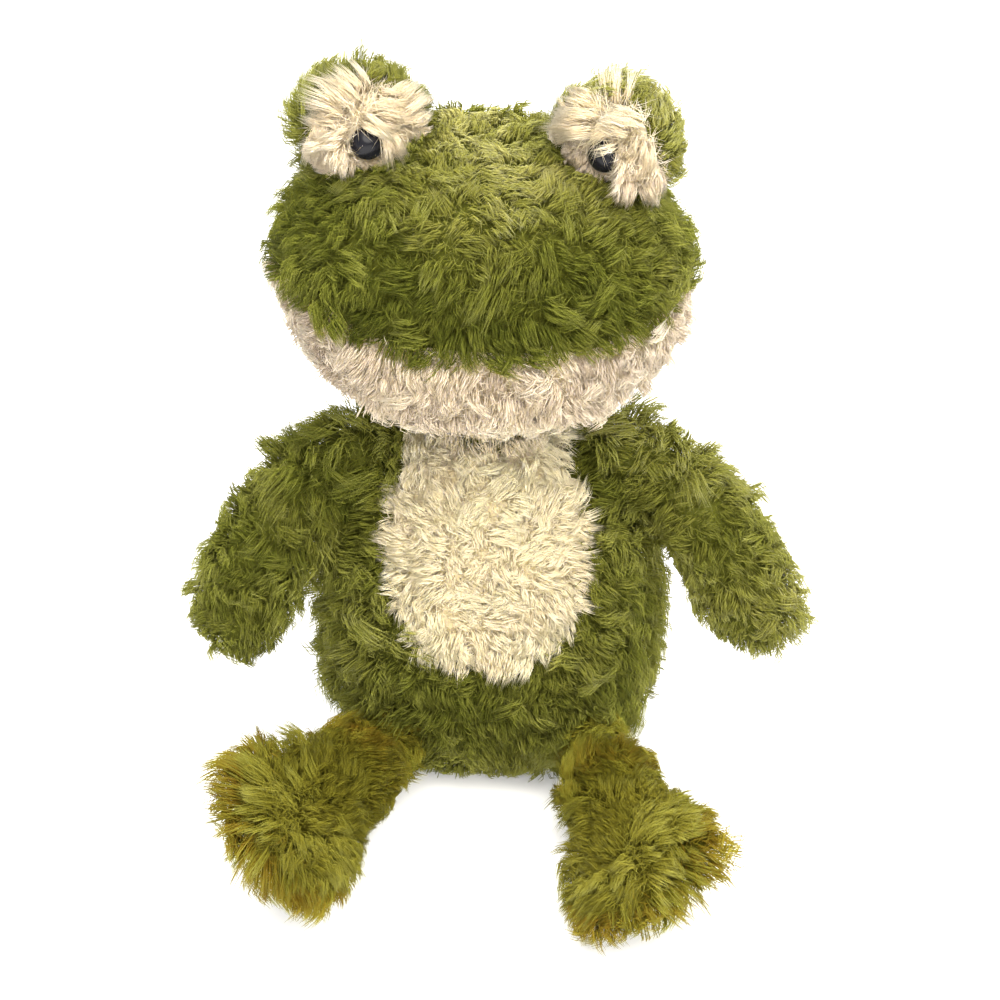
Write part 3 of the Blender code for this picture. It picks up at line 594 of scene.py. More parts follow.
class Skin:
    """The cloth of a whole form, as triangles to grow pile on."""

    def __init__(self, form, sides, rings, grow):
        made = facing_out(form.ball(sides, rings, grow))
        mesh = bpy.data.meshes.new("skin")
        made.to_mesh(mesh)
        made.free()
        self.points = np.array([vertex.co[:] for vertex in mesh.vertices])
        faces = sorted(from_lowest(list(polygon.vertices)) for polygon in mesh.polygons)
        self.triangles = np.array([(face[0], face[step], face[step + 1])
                                   for face in faces for step in range(1, len(face) - 1)])
        a, b, c = (self.points[self.triangles[:, corner]] for corner in range(3))
        crossed = np.cross(b - a, c - a)
        self.areas = 0.5 * np.linalg.norm(crossed, axis=1)
        self.middles = (a + b + c) / 3.0
        outward = np.array([vertex.normal[:] for vertex in mesh.vertices])[self.triangles].sum(axis=1)
        crossed *= np.sign((crossed * outward).sum(axis=1))[:, None]
        normals = np.zeros_like(self.points)
        for corner in range(3):
            np.add.at(normals, self.triangles[:, corner], crossed)
        self.normals = unit(normals)
        bpy.data.meshes.remove(mesh)

    def scatter(self, spacing_area, keep, chance):
        """Evenly random places, one for each spacing_area of the kept part of the skin."""
        areas = np.where(keep(self.middles), self.areas, 0.0)
        count = int(areas.sum() / spacing_area)
        chosen = chance.choice(len(areas), size=count, p=areas / areas.sum())
        u, v = chance.random(count), chance.random(count)
        over = u + v > 1.0
        u[over], v[over] = 1.0 - u[over], 1.0 - v[over]
        weights = np.stack([1.0 - u - v, u, v], axis=1)[:, :, None]
        corners = self.triangles[chosen]
        places = (self.points[corners] * weights).sum(axis=1)
        normals = unit((self.normals[corners] * weights).sum(axis=1))
        kept = keep(places)
        return places[kept], normals[kept]


# %% Locks, wisps and fibres
FLOOR_CLEARANCE = 0.0004
UPRIGHT = 0.76
WISPS_PER_LOCK = 9.0
SHORTER_BY = 0.38
LEAST_LEAN = 0.62
MOST_LEAN = 0.92
STRAY_SHARE = 0.015
UNDERCOAT_SHARE = 0.30
UNDERCOAT_TURN = 1.6


class Pile:
    """How one kind of pile grows: lengths in metres, and areas in square metres."""

    def __init__(self, fibre_area, length=0.0130, lock_area=2.9e-5, fatness=0.00020, lock_cling=0.16,
                 wisp_cling=0.30, ruffle=0.40, drift=0.55, swirl=0.045, lie=1.0):
        self.fibre_area = fibre_area
        self.length = length
        self.lock_area = lock_area
        self.fatness = fatness
        self.lock_cling = lock_cling
        self.wisp_cling = wisp_cling
        self.ruffle = ruffle
        self.drift = drift
        self.swirl = swirl
        self.lie = lie


class Lay:
    """How locks, wisps or fibres lie: each array has one row for each of them."""

    def __init__(self, at, normal, heading, lean, length, lift, curl, tone):
        self.at = at
        self.normal = normal
        self.heading = laid_flat(heading, normal)
        self.lean = lean
        self.aside = np.cross(normal, self.heading)
        self.length = length
        self.lift = lift
        self.curl = curl
        self.tone = tone

    def loosened(self, loose, chance):
        """The loose ones become undercoat: shorter, lower, and turned any way."""
        turn = UNDERCOAT_TURN * chance.normal(size=len(loose))
        self.heading = turned_round(self.heading, self.normal, np.where(loose, turn, 0.0))
        self.aside = np.cross(self.normal, self.heading)
        self.length = np.where(loose, 0.80, 1.0) * self.length
        self.lift = np.where(loose, 0.80, 1.0) * self.lift

    def parted(self, at, normal, chance, turn, vary, tone):
        """Smaller bundles, each of which lies nearly like the nearest of these."""
        parent = nearest(at, self.at)
        count = len(at)
        heading = turned_round(self.heading[parent], normal, turn * chance.normal(size=count))
        length = self.length[parent] * varied(vary, count, chance)
        return parent, Lay(at, normal, heading, self.lean[parent], length,
                           self.lift[parent] * varied(1.2 * vary, count, chance),
                           self.curl[parent] + vary * chance.normal(size=count),
                           self.tone[parent] + tone * chance.normal(size=count))

    def curve(self, share, rows=slice(None)):
        """Points a share of the way along: up from the cloth, then over, and aside by the curl."""
        length = self.length[rows]
        rise = length * self.lift[rows] * (1.60 * share - 0.95 * share * share)
        run = length * self.lean[rows] * (0.12 * share + 0.54 * share * share)
        bow = length * self.curl[rows] * share * share
        return (self.at[rows] + self.normal[rows] * rise[:, None] + self.heading[rows] * run[:, None]
                + self.aside[rows] * bow[:, None])


def varied(amount, count, chance):
    return np.clip(1.0 + amount * chance.normal(size=count), 0.45, 1.7)


def nearest(places, centres):
    tree = KDTree(len(centres))
    for index, centre in enumerate(centres):
        tree.insert(centre, index)
    tree.balance()
    return np.array([tree.find(place)[1] for place in places])


def wandering(points, wavelength, seed):
    """A slowly turning vector for each point."""
    return np.stack([slow_noise(points, wavelength, seed + step) for step in range(3)], axis=1)


def grown(skin, keep, brushed, pile, seed, tone_of=None, length_of=None, lift_of=None):
    """The pile of one part of a skin, as one mesh of fibres."""
    chance = np.random.default_rng(seed)
    thinning = 1.0
    lock_at, lock_normal = skin.scatter(pile.lock_area, keep, chance)
    wisp_at, wisp_normal = skin.scatter(pile.lock_area / WISPS_PER_LOCK, keep, chance)
    fibre_at, fibre_normal = skin.scatter(pile.fibre_area * thinning, keep, chance)
    count = len(lock_at)
    pull = brushed(lock_at) + pile.drift * wandering(lock_at, pile.swirl, seed + 5)
    pull = pull + pile.ruffle * chance.normal(size=(count, 3))
    along = np.sum(pull * lock_normal, axis=1, keepdims=True)
    lean = pile.lie * np.clip(np.linalg.norm(pull - along * lock_normal, axis=1), LEAST_LEAN, MOST_LEAN)
    length = pile.length * varied(0.09, count, chance)
    if length_of is not None:
        length = length * length_of(lock_at)
    lift = UPRIGHT / pile.lie * varied(0.20, count, chance)
    if lift_of is not None:
        lift = lift * lift_of(lock_at)
    tone = 0.5 + 0.09 * slow_noise(lock_at, 0.045, seed + 2) + 0.04 * chance.normal(size=count)
    locks = Lay(lock_at, lock_normal, pull, lean, length, lift, 0.34 * chance.normal(size=count), tone)
    lock_of_wisp, wisps = locks.parted(wisp_at, wisp_normal, chance, 0.16, 0.06, 0.035)
    wisp_of, fibres = wisps.parted(fibre_at, fibre_normal, chance, 0.08, 0.04, 0.04)
    lock_of = lock_of_wisp[wisp_of]
    count = len(fibre_at)
    shorter = 1.0 - SHORTER_BY * chance.random(count) ** 1.5
    fibres.length = shorter * fibres.length
    cling = np.where(chance.random(count) < STRAY_SHARE, 0.1, shorter)
    loose = chance.random(count) < UNDERCOAT_SHARE
    cling = np.where(loose, 0.1, cling)
    fibres.loosened(loose, chance)
    bend = 0.50 + 0.22 * chance.random(count)
    path = []
    for share in (np.zeros(count), bend, np.ones(count)):
        place = fibres.curve(share)
        to_wisp = wisps.curve(share, wisp_of) - place
        to_lock = locks.curve(share, lock_of) - place
        gather = cling * pile.wisp_cling * share ** 1.2
        bunch = cling * pile.lock_cling * share ** 1.5
        path.append(place + to_wisp * gather[:, None] + to_lock * bunch[:, None])
    tone = fibres.tone if tone_of is None else tone_of(fibre_at, fibres.tone)
    return fibre_mesh(np.stack(path, axis=1), fibre_normal, pile.fatness * math.sqrt(thinning), tone)


# %% Fibres made into a mesh
UV_WIDTH = 1.0 / 160.0
CLOTH_TONE = 0.42


def fibre_mesh(path, normals, fatness, tone):
    """Points, corners, face starts and map places of all fibres, as bent copies of the one fibre."""
    pattern = FIBRE
    along = unit(path[:, -1] - path[:, 0])
    side = unit(np.cross(along, normals))
    up = np.cross(side, along)
    width = pattern.widths[pattern.levels] * fatness
    offset = (side[:, None, :] * (np.cos(pattern.angles) * width)[None, :, None]
              + up[:, None, :] * (np.sin(pattern.angles) * width)[None, :, None])
    points = path[:, pattern.levels] + offset
    points[:, :, 2] = np.maximum(points[:, :, 2], FLOOR_CLEARANCE)

    corner = np.array([index for face in pattern.faces for index in face])
    starts = np.cumsum([0] + [len(face) for face in pattern.faces[:-1]])
    count = len(path)
    corners = (corner[None, :] + len(pattern.levels) * np.arange(count)[:, None]).ravel()
    face_starts = (starts[None, :] + len(corner) * np.arange(count)[:, None]).ravel()
    third = np.round((pattern.angles / (2.0 * math.pi) + 1.0) * 3.0) % 3
    third = np.where(width > 0.0, third, 1.0)
    u = np.clip(tone, 0.01, 0.99)[:, None] + UV_WIDTH * (third[corner] - 1.0)[None, :]
    v = np.broadcast_to(0.01 + 0.98 * pattern.levels[corner][None, :] / (len(pattern.widths) - 1), u.shape)
    return points.reshape(-1, 3), corners, face_starts, np.stack([u, v], axis=2).reshape(-1, 2)


def cloth_mesh(form, sides, rings, depth, keep):
    """The backing cloth of one panel: its faces of the form, given a wall inward."""
    made = facing_out(form.ball(sides, rings, -depth))
    middles = np.array([face.calc_center_median()[:] for face in made.faces])
    kept = keep(middles)
    gone = [face for face, wanted in zip(made.faces, kept) if not wanted]
    bmesh.ops.delete(made, geom=gone, context="FACES")
    if made.faces:
        bmesh.ops.solidify(made, geom=made.faces[:], thickness=CLOTH_THICKNESS)
    made.verts.index_update()
    points = np.array([vertex.co[:] for vertex in made.verts]).reshape(-1, 3)
    points[:, 2] = np.maximum(points[:, 2], FLOOR_CLEARANCE)
    faces = [[vertex.index for vertex in face.verts] for face in made.faces]
    made.free()
    corners = np.array([corner for face in faces for corner in face], dtype=int)
    starts = np.cumsum([0] + [len(face) for face in faces])[:-1].astype(int)
    step = np.concatenate([np.arange(len(face)) for face in faces]) if faces else np.zeros(0)
    # the cloth takes the root end of the map, so it carries the same painted shade as the fibres' roots
    places = np.stack([CLOTH_TONE + UV_WIDTH * (step % 2), 0.02 + 0.02 * (step // 2)], axis=1)
    return points, corners, starts, places


def mesh_object(name, parts, finish):
    """One object from several lists of points, corners, face starts and map places."""
    mesh = bpy.data.meshes.new(name)
    points = np.concatenate([part[0] for part in parts])
    shifts = np.cumsum([0] + [len(part[0]) for part in parts])
    corners = np.concatenate([part[1] + shift for part, shift in zip(parts, shifts)])
    loops = np.cumsum([0] + [len(part[1]) for part in parts])
    starts = np.concatenate([part[2] + shift for part, shift in zip(parts, loops)])
    places = np.concatenate([part[3] for part in parts])
    mesh.vertices.add(len(points))
    mesh.vertices.foreach_set("co", points.astype(np.float32).ravel())
    mesh.loops.add(len(corners))
    mesh.loops.foreach_set("vertex_index", corners.astype(np.int32))
    mesh.polygons.add(len(starts))
    mesh.polygons.foreach_set("loop_start", starts.astype(np.int32))
    mesh.update(calc_edges=True)
    layer = mesh.uv_layers.new(name=MAP_NAME)
    layer.uv.foreach_set("vector", places.astype(np.float32).ravel())
    mesh.validate()
    mesh.shade_smooth()
    mesh.materials.append(finish)
    obj = bpy.data.objects.new(name, mesh)
    bpy.context.scene.collection.objects.link(obj)
    return obj


# %% One furred panel
panel_triangles = {}


def furred_panel(name, node, body, slot, parts):
    """One panel, cloth and pile together, in one piece that stands for the CAD node."""
    piece = mesh_object(name, parts, PILE_FINISHES[slot])
    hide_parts(node)
    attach(piece, body)
    piece.data.calc_loop_triangles()
    panel_triangles[name] = len(piece.data.loop_triangles)
    print(f"{name}: {panel_triangles[name]} triangles")


def cloth_of(form, keep, sides=48, rings=32):
    return cloth_mesh(form, sides, rings, CLOTH_DEPTH, keep)


# %% [markdown]
# ## The head's panels
#
# The head is sewn from a green crown, a cream jaw below the mouth seam and a green back. The seam has no
# width of its own: where it runs, one pile ends and the other starts, and the locks of both mix. On the
# crown the pile was brushed away from the middle of the forehead. On the jaw it hangs down.

# %% The head
def head_local(points):
    return moved(points, HEAD_LEAN.inverted()) - np.array(HEAD_CENTRE)


def clear_of_neck(points):
    return np.linalg.norm(points - np.array(NECK_CENTRE), axis=1) > NECK_RADIUS - CLOTH_DEPTH + 0.002


def clear_of_mounds(points):
    clear = np.ones(len(points), dtype=bool)
    for mound in MOUNDS.values():
        clear &= mound.depth_share(points, -CLOTH_DEPTH - 0.004) > 1.0
    return clear


def below_mouth(points):
    local = head_local(points)
    corner = np.minimum(1.0, np.abs(local[:, 0]) / 0.081) ** 2
    return local[:, 2] < -0.007 + 0.013 * corner


def before_ears(points):
    return head_local(points)[:, 1] < 0.020


def on_crown(points):
    return before_ears(points) & ~below_mouth(points) & clear_of_mounds(points)


def on_jaw(points):
    return before_ears(points) & below_mouth(points) & clear_of_neck(points)


def on_head_back(points):
    return ~before_ears(points) & clear_of_neck(points) & clear_of_mounds(points)


def brushed_from(centre, pull, calm=0.020):
    """Headings away from a place, weaker next to it, with a steady pull added."""
    def headings(points):
        away = points - np.array(centre)
        distance = np.linalg.norm(away, axis=1, keepdims=True)
        return away / (distance + calm) + np.array(pull)
    return headings


def crown_tone(points, tone):
    """The forehead's top is painted paler, a painted highlight where the top light falls; the forehead is
    also darker at its lower left and paler towards its +x side.
    """
    local = head_local(points)
    pale = np.exp(-(local[:, 0] / 0.045) ** 2 - ((local[:, 2] - 0.048) / 0.020) ** 2)
    dark = np.exp(-((local[:, 0] + 0.045) / 0.035) ** 2 - ((local[:, 2] - 0.005) / 0.020) ** 2)
    paler_side = np.exp(-((local[:, 0] - 0.060) / 0.025) ** 2)
    return tone - 0.22 + 0.56 * pale - 0.08 * dark + 0.12 * paler_side


def crown_length(points):
    """The pile is pressed flatter between the eye mounds."""
    local = head_local(points)
    return 1.0 - 0.28 * np.clip((local[:, 2] - 0.040) / 0.012, 0.0, 1.0)


def jaw_tone(points, tone):
    """The whole jaw is painted darker, as painted shade for its face that turns down from the light, and its
    two ends darker still, as painted shade of the cheeks.
    """
    x = head_local(points)[:, 0]
    return (tone - 0.20 - 0.30 * np.exp(-((x + 0.062) / 0.020) ** 2)
            - 0.14 * np.exp(-((x - 0.062) / 0.020) ** 2))


def jaw_length(points):
    """The pile is pressed flatter under the jaw's right end."""
    local = head_local(points)
    return 1.0 - 0.32 * np.exp(-((local[:, 0] + 0.066) / 0.020) ** 2) * (local[:, 2] < -0.002)


head_skin = Skin(HEAD, 64, 44, -CLOTH_DEPTH)
furred_panel("crown_plush", "head_crown", "head", "green_pile", [
    grown(head_skin, on_crown, brushed_from((-0.003, -0.052, 0.260), (0.0, 0.0, -0.25)),
          Pile(0.50e-6, length=0.0140, fatness=0.00019), 11, tone_of=crown_tone,
          length_of=crown_length), cloth_of(HEAD, on_crown)])
furred_panel("jaw_plush", "jaw_panel", "head", "cream_pile", [
    grown(head_skin, on_jaw, brushed_from((-0.006, -0.020, 0.235), (0.0, 0.0, -0.8)),
          Pile(0.50e-6, fatness=0.00019, ruffle=0.34, drift=0.40), 12,
           tone_of=jaw_tone, length_of=jaw_length), cloth_of(HEAD, on_jaw)])
furred_panel("head_back_plush", "head_back", "head", "green_pile", [
    grown(head_skin, on_head_back, brushed_from((-0.006, 0.060, 0.255), (0.0, 0.0, -0.6)),
          Pile(0.80e-6, fatness=0.00025), 13), cloth_of(HEAD, on_head_back)])

# %% [markdown]
# ## The eye mounds
#
# Each mound is a ball of green plush with a cream patch on its front, and the eye sits in the patch. The
# pile of the patch is brushed away from the eye. It is shorter next to the eye, or the eye would drown.

# %% Mounds and their patches
GAZE = {"left": math.radians(21.0), "right": math.radians(7.0)}
SIDES = {"left": 1.0, "right": -1.0}
WHORLS = {"left": (0.0120, 0.0095), "right": (-0.0060, 0.0095)}
FRINGES = {"left": 1.35, "right": 1.06}
FRINGE_REACHES = {"left": 0.0172, "right": 0.0155}
HOOD_LENGTHS = {"left": 0.0120, "right": 0.0135}
HOOD_BIAS = {"left": 0.38, "right": -0.25}
BROW_STEP = 0.0006
LID_LEVEL = -0.0088
LID_SLOPES = {"left": 0.45, "right": 0.70}
LID_ENDS = {"left": 0.014, "right": 0.006}


def eye_frame(label):
    """From an upright frame, with +Z along the gaze, to the eye's mound."""
    side = SIDES[label]
    gaze = Vector((-side * math.sin(GAZE[label]), -math.cos(GAZE[label]), 0.0))
    up = Vector((0.0, 0.0, 1.0))
    turn = Matrix((up.cross(gaze), up, gaze)).transposed().to_4x4()
    return HEAD_LEAN @ Matrix.Translation(Vector(MOUNDS[label].centre)) @ turn


def mound_panels(label):
    mound = MOUNDS[label]
    to_eye = eye_frame(label).inverted()
    skin = Skin(mound, 40, 28, -CLOTH_DEPTH)

    def over_head(points):
        return HEAD.depth_share(points, -CLOTH_DEPTH + 0.001) > 1.0

    def inward(local):
        return -SIDES[label] * local[:, 0]

    def behind_seam(points):
        local = moved(points, to_eye)
        low_outer = np.clip(-inward(local) / 0.02, 0.0, 1.0) * np.clip(-local[:, 1] / 0.01, 0.0, 1.0)
        brow = np.clip(local[:, 1] / 0.010, 0.0, 1.0)
        return local[:, 2] < 0.0075 - 0.008 * low_outer + BROW_STEP * brow

    def over_lid(local):
        """How far a point lies above the patch's lower edge, which rises towards the forehead."""
        side = inward(local)
        rising = LID_SLOPES[label] * np.clip(side - 0.003, 0.0, None)
        falling = np.clip(-side - LID_ENDS[label], 0.0, None)
        return local[:, 1] - (LID_LEVEL + rising - falling)

    def on_lid(points):
        return ~behind_seam(points) & over_head(points) & (over_lid(moved(points, to_eye)) < 0.0)

    def cloth_patch(points):
        return ~behind_seam(points) & over_head(points) & ~on_lid(points)

    def on_patch(points):
        local = moved(points, to_eye)
        return cloth_patch(points) & (np.hypot(local[:, 0], local[:, 1]) > 0.0056)

    def on_brow(points):
        return behind_seam(points) & over_head(points)

    def on_hood(points):
        return on_brow(points) | on_lid(points)

    whorl = np.array(WHORLS[label])

    def near_eye(points):
        """A fringe over the eye, and shorter pile on its other side, along the lid and at the brow."""
        local = moved(points, to_eye)
        distance = np.hypot(local[:, 0], local[:, 1])
        towards = (local[:, :2] @ whorl) / (np.maximum(distance, 1e-6) * np.linalg.norm(whorl))
        near = np.clip((FRINGE_REACHES[label] - distance) / 0.003, 0.0, 1.0)
        fringe = 0.92 + (FRINGES[label] - 0.92) * near
        short = np.clip(distance / 0.0110, 0.72, 1.0)
        short *= 0.38 + 0.62 * np.clip(over_lid(local) / 0.013, 0.0, 1.0)
        return np.where(towards > 0.0, fringe, short)

    def stand_up(points):
        local = moved(points, to_eye)
        return 1.0 + 0.50 * np.exp(-((np.hypot(local[:, 0], local[:, 1]) - 0.006) / 0.005) ** 2)

    def patch_tone(points, tone):
        local = moved(points, to_eye)
        return tone - 0.04 - 0.16 * np.clip(-local[:, 1] / 0.012, 0.0, 1.0)

    def hood_length(points):
        local = moved(points, to_eye)
        side = np.clip(inward(local) / 0.012, -1.0, 1.0)
        high = np.clip(local[:, 1] / 0.012, -1.0, 1.0)
        low_outer = np.clip(-side, 0.0, 1.0) * np.clip(-high, 0.0, 1.0)
        return 1.0 + HOOD_BIAS[label] * side * (1.0 - 0.5 * np.clip(high, 0.0, 1.0)) + 0.35 * low_outer

    eye_at = moved(np.array([[0.0, -0.001, 0.016]]), eye_frame(label))[0]
    whorl_at = moved(np.array([[whorl[0], whorl[1], 0.0150]]), eye_frame(label))[0]
    brushed = brushed_from(whorl_at, (0.0, 0.05, -0.05), 0.003)

    furred_panel("patch_plush_" + label, "eye_patch_" + label, "head", "cream_pile", [
        grown(skin, on_patch, brushed,
               Pile(0.09e-6, length=0.0135, lock_area=2.6e-5, fatness=0.00012, lock_cling=0.12, ruffle=0.16,
                    drift=0.30, swirl=0.022, lie=1.15),
               20 + len(label), tone_of=patch_tone, length_of=near_eye, lift_of=stand_up),
        cloth_of(mound, cloth_patch, 40, 28)])
    furred_panel("hood_plush_" + label, "eye_hood_" + label, "head", "green_pile", [
        grown(skin, on_brow, brushed_from(eye_at, (0.0, 0.2, 0.2)),
              Pile(0.36e-6, length=HOOD_LENGTHS[label], lock_area=2.2e-5, fatness=0.00018), 30 + len(label),
              # painted highlight: the brow's pile is painted paler, where the top light falls on the mound
              tone_of=lambda points, tone: tone + 0.14, length_of=hood_length),
        grown(skin, on_lid, brushed_from(eye_at, (0.0, 0.0, 1.3)),
              Pile(0.30e-6, length=0.0100, lock_area=2.2e-5, fatness=0.00018), 34 + len(label),
              # painted shade: the lid's green pile under the patch is painted darker
              tone_of=lambda points, tone: tone - 0.10),
        cloth_of(mound, on_hood, 40, 28)])


for label in MOUNDS:
    mound_panels(label)

# %% [markdown]
# ## The eyes
#
# A toy's eye is a dome of black plastic with a ridged shank, pushed through the patch and locked from
# behind. It is a turned shape, so its outline is drawn once and spun.

# %% Eyes
EYE_RADIUS = 0.006
EYE_BASE = 0.0235 - 0.0075
SHANK_TIP = EYE_BASE - 0.009
SHANK_RADIUS = 0.002


def eye_outline():
    points = [(0.0, SHANK_TIP), (SHANK_RADIUS - 0.0003, SHANK_TIP)]
    for ridge in range(5):
        foot = SHANK_TIP + 0.0015 * (ridge + 0.5)
        points += [(SHANK_RADIUS, foot), (SHANK_RADIUS - 0.0003, foot + 0.00075)]
    points += [(SHANK_RADIUS, EYE_BASE), (EYE_RADIUS - 0.0003, EYE_BASE), (EYE_RADIUS, EYE_BASE + 0.0003)]
    for step in range(13):
        angle = 0.5 * math.pi * step / 12
        points.append((EYE_RADIUS * math.cos(angle), EYE_BASE + 0.001 + 0.0045 * math.sin(angle)))
    return points


def turned_eye(label):
    made = bmesh.new()
    corners = [made.verts.new((radius, 0.0, height)) for radius, height in eye_outline()]
    for low, high in zip(corners, corners[1:]):
        made.edges.new((low, high))
    bmesh.ops.spin(made, geom=made.verts[:] + made.edges[:], cent=(0.0, 0.0, 0.0), axis=(0.0, 0.0, 1.0),
                   angle=2.0 * math.pi, steps=40, use_merge=True)
    bmesh.ops.remove_doubles(made, verts=made.verts, dist=1e-6)
    facing_out(made)
    bmesh.ops.transform(made, matrix=eye_frame(label), verts=made.verts)
    mesh = bpy.data.meshes.new("eye_dome_" + label)
    made.to_mesh(mesh)
    made.free()
    mesh.shade_smooth()
    mesh.set_sharp_from_angle(angle=math.radians(40.0))
    mesh.materials.append(eye_plastic)
    eye = bpy.data.objects.new("eye_dome_" + label, mesh)
    bpy.context.scene.collection.objects.link(eye)
    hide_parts("eye_" + label)
    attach(eye, "head")
    print(eye.name, len(mesh.polygons), "faces")


for label in MOUNDS:
    turned_eye(label)
    washer = frame["nodes"]["eye_washer_" + label]
    washer.data.materials.clear()
    washer.data.materials.append(washer_plastic)

# %% [markdown]
# ## The body's panels
#
# The body has a green front, a green back and a cream tummy panel let into the front. The cream locks lie
# outward over the green ones all round the panel, so the panel's edge is soft and ragged.

# %% The body
def at_seats(points, margin):
    """True where an arm or a leg leaves the body."""
    inside = np.zeros(len(points), dtype=bool)
    for side in (-1.0, 1.0):
        for seat, radius in ((SHOULDER, SHOULDER_RADIUS), (HIP, HIP_RADIUS)):
            place = np.array((side * seat.x, seat.y, seat.z))
            inside |= np.linalg.norm(points - place, axis=1) < radius - CLOTH_DEPTH + margin
    return inside


def on_tummy(points):
    x, z = np.abs(points[:, 0] + 0.002), points[:, 2]
    low = np.clip(0.124 - z, 0.0, None) / 0.052
    inside_low = (x / 0.036) ** 3.0 + low ** 3.0 < 1.0
    high = np.clip((z - 0.132) / 0.010, 0.0, 1.0)
    inside_high = x < 0.036 - 0.006 * high
    return np.where(z < 0.124, inside_low, inside_high) & (points[:, 1] < -0.008) & ~at_seats(points, 0.001)


def on_body_front(points):
    return (points[:, 1] < 0.010) & ~on_tummy(points) & ~at_seats(points, 0.001)


def on_body_back(points):
    return (points[:, 1] >= 0.010) & ~at_seats(points, 0.001)


NECK = Stuffed(NECK_CENTRE, *[NECK_RADIUS] * 5, 2.0, 2.0, 2.0)


neck_skin = Skin(NECK, 32, 20, -CLOTH_DEPTH)


def short_below(points):
    """The pile is pressed short where the body rests on its seat."""
    low = np.clip(0.60 + 0.40 * (points[:, 2] - 0.012) / 0.030, 0.60, 1.0)
    low = np.minimum(1.0, low + 0.45 * np.clip(points[:, 0] / 0.055, 0.0, 1.0))
    side = np.where(points[:, 0] < 0.0, 0.42, 0.24)
    return low * (1.0 + side * np.clip(np.abs(points[:, 0]) / 0.060, 0.0, 1.0))


def on_neck(points):
    return (points[:, 2] > BODY.centre[2]) & (BODY.depth_share(points, -CLOTH_DEPTH) > 1.0)


def on_bib(points):
    return on_neck(points) & (np.abs(points[:, 0]) < 0.028) & (points[:, 1] < -0.006)


def on_neck_front(points):
    return on_neck(points) & (points[:, 1] < 0.010)


def on_neck_back(points):
    return on_neck(points) & (points[:, 1] >= 0.010)


def beside_bib(points):
    return on_neck_front(points) & ~on_bib(points)


body_skin = Skin(BODY, 64, 48, -CLOTH_DEPTH)
neck_lay = brushed_from((0.0, 0.0, 0.185), (0.0, 0.0, -0.3))
neck_pile = Pile(0.6e-6, length=0.0120)
furred_panel("tummy_plush", "tummy_panel", "torso", "cream_pile", [
    grown(body_skin, on_tummy, brushed_from((-0.002, -0.040, 0.118), (0.0, 0.0, -0.1)),
          Pile(0.28e-6, length=0.0125, fatness=0.00017, lock_cling=0.10, ruffle=0.36, drift=0.5, lie=1.15),
          # painted highlight: the tummy's pile is painted paler, where the light falls on the belly
          41, tone_of=lambda points, tone: tone + 0.33),
    grown(neck_skin, on_bib, neck_lay, neck_pile, 42), cloth_of(BODY, on_tummy)])
furred_panel("body_front_plush", "torso_front", "torso", "green_pile", [
    grown(body_skin, on_body_front, brushed_from((-0.002, -0.030, 0.115), (0.0, 0.0, -0.4)),
          Pile(0.80e-6, fatness=0.00021), 43, length_of=short_below),
    grown(neck_skin, beside_bib, neck_lay, neck_pile, 44),
    cloth_of(BODY, on_body_front), cloth_of(NECK, on_neck_front, 32, 20)])
furred_panel("body_back_plush", "torso_back", "torso", "green_pile", [
    grown(body_skin, on_body_back, brushed_from((0.0, 0.020, 0.150), (0.0, 0.0, -0.8)),
          Pile(0.90e-6, fatness=0.00025), 45),
    grown(neck_skin, on_neck_back, neck_lay, neck_pile, 46),
    cloth_of(BODY, on_body_back), cloth_of(NECK, on_neck_back, 32, 20)])

# %% [markdown]
# ## Arms and legs
#
# A limb has a front and a back panel. Arms are brushed towards the hand. A flipper's pile spreads from the
# middle of its top like a star, and its rim is browner. Its shin is painted darker, as painted shade under
# the belly.

# %% Arms and legs
LEG_TONE_BASE = {"left": 0.31, "right": 0.26}
# painted light: the arm on the +x side is painted paler as a painted highlight, the other a little darker as
# painted shade
ARM_PAINTED_LIGHT = {"left": 0.13, "right": -0.04}
# painted shade on each shin, under the belly
SHIN_SHADES = {"left": 0.26, "right": 0.18}
FULLER_TOPS = {"left": 0.30, "right": 0.46}
TOE_TIPS = {"left": 0.26, "right": 0.26}
FULLER_SHIN = {"left": 0.30, "right": -0.30}
HAND_TUCKS = {
    "left": ((0.015, -0.010, -0.72), (0.019, 0.013, 0.60)),
    "right": ((0.018, 0.018, -0.45), (0.010, -0.018, -0.40), (0.002, 0.014, -0.25)),
}


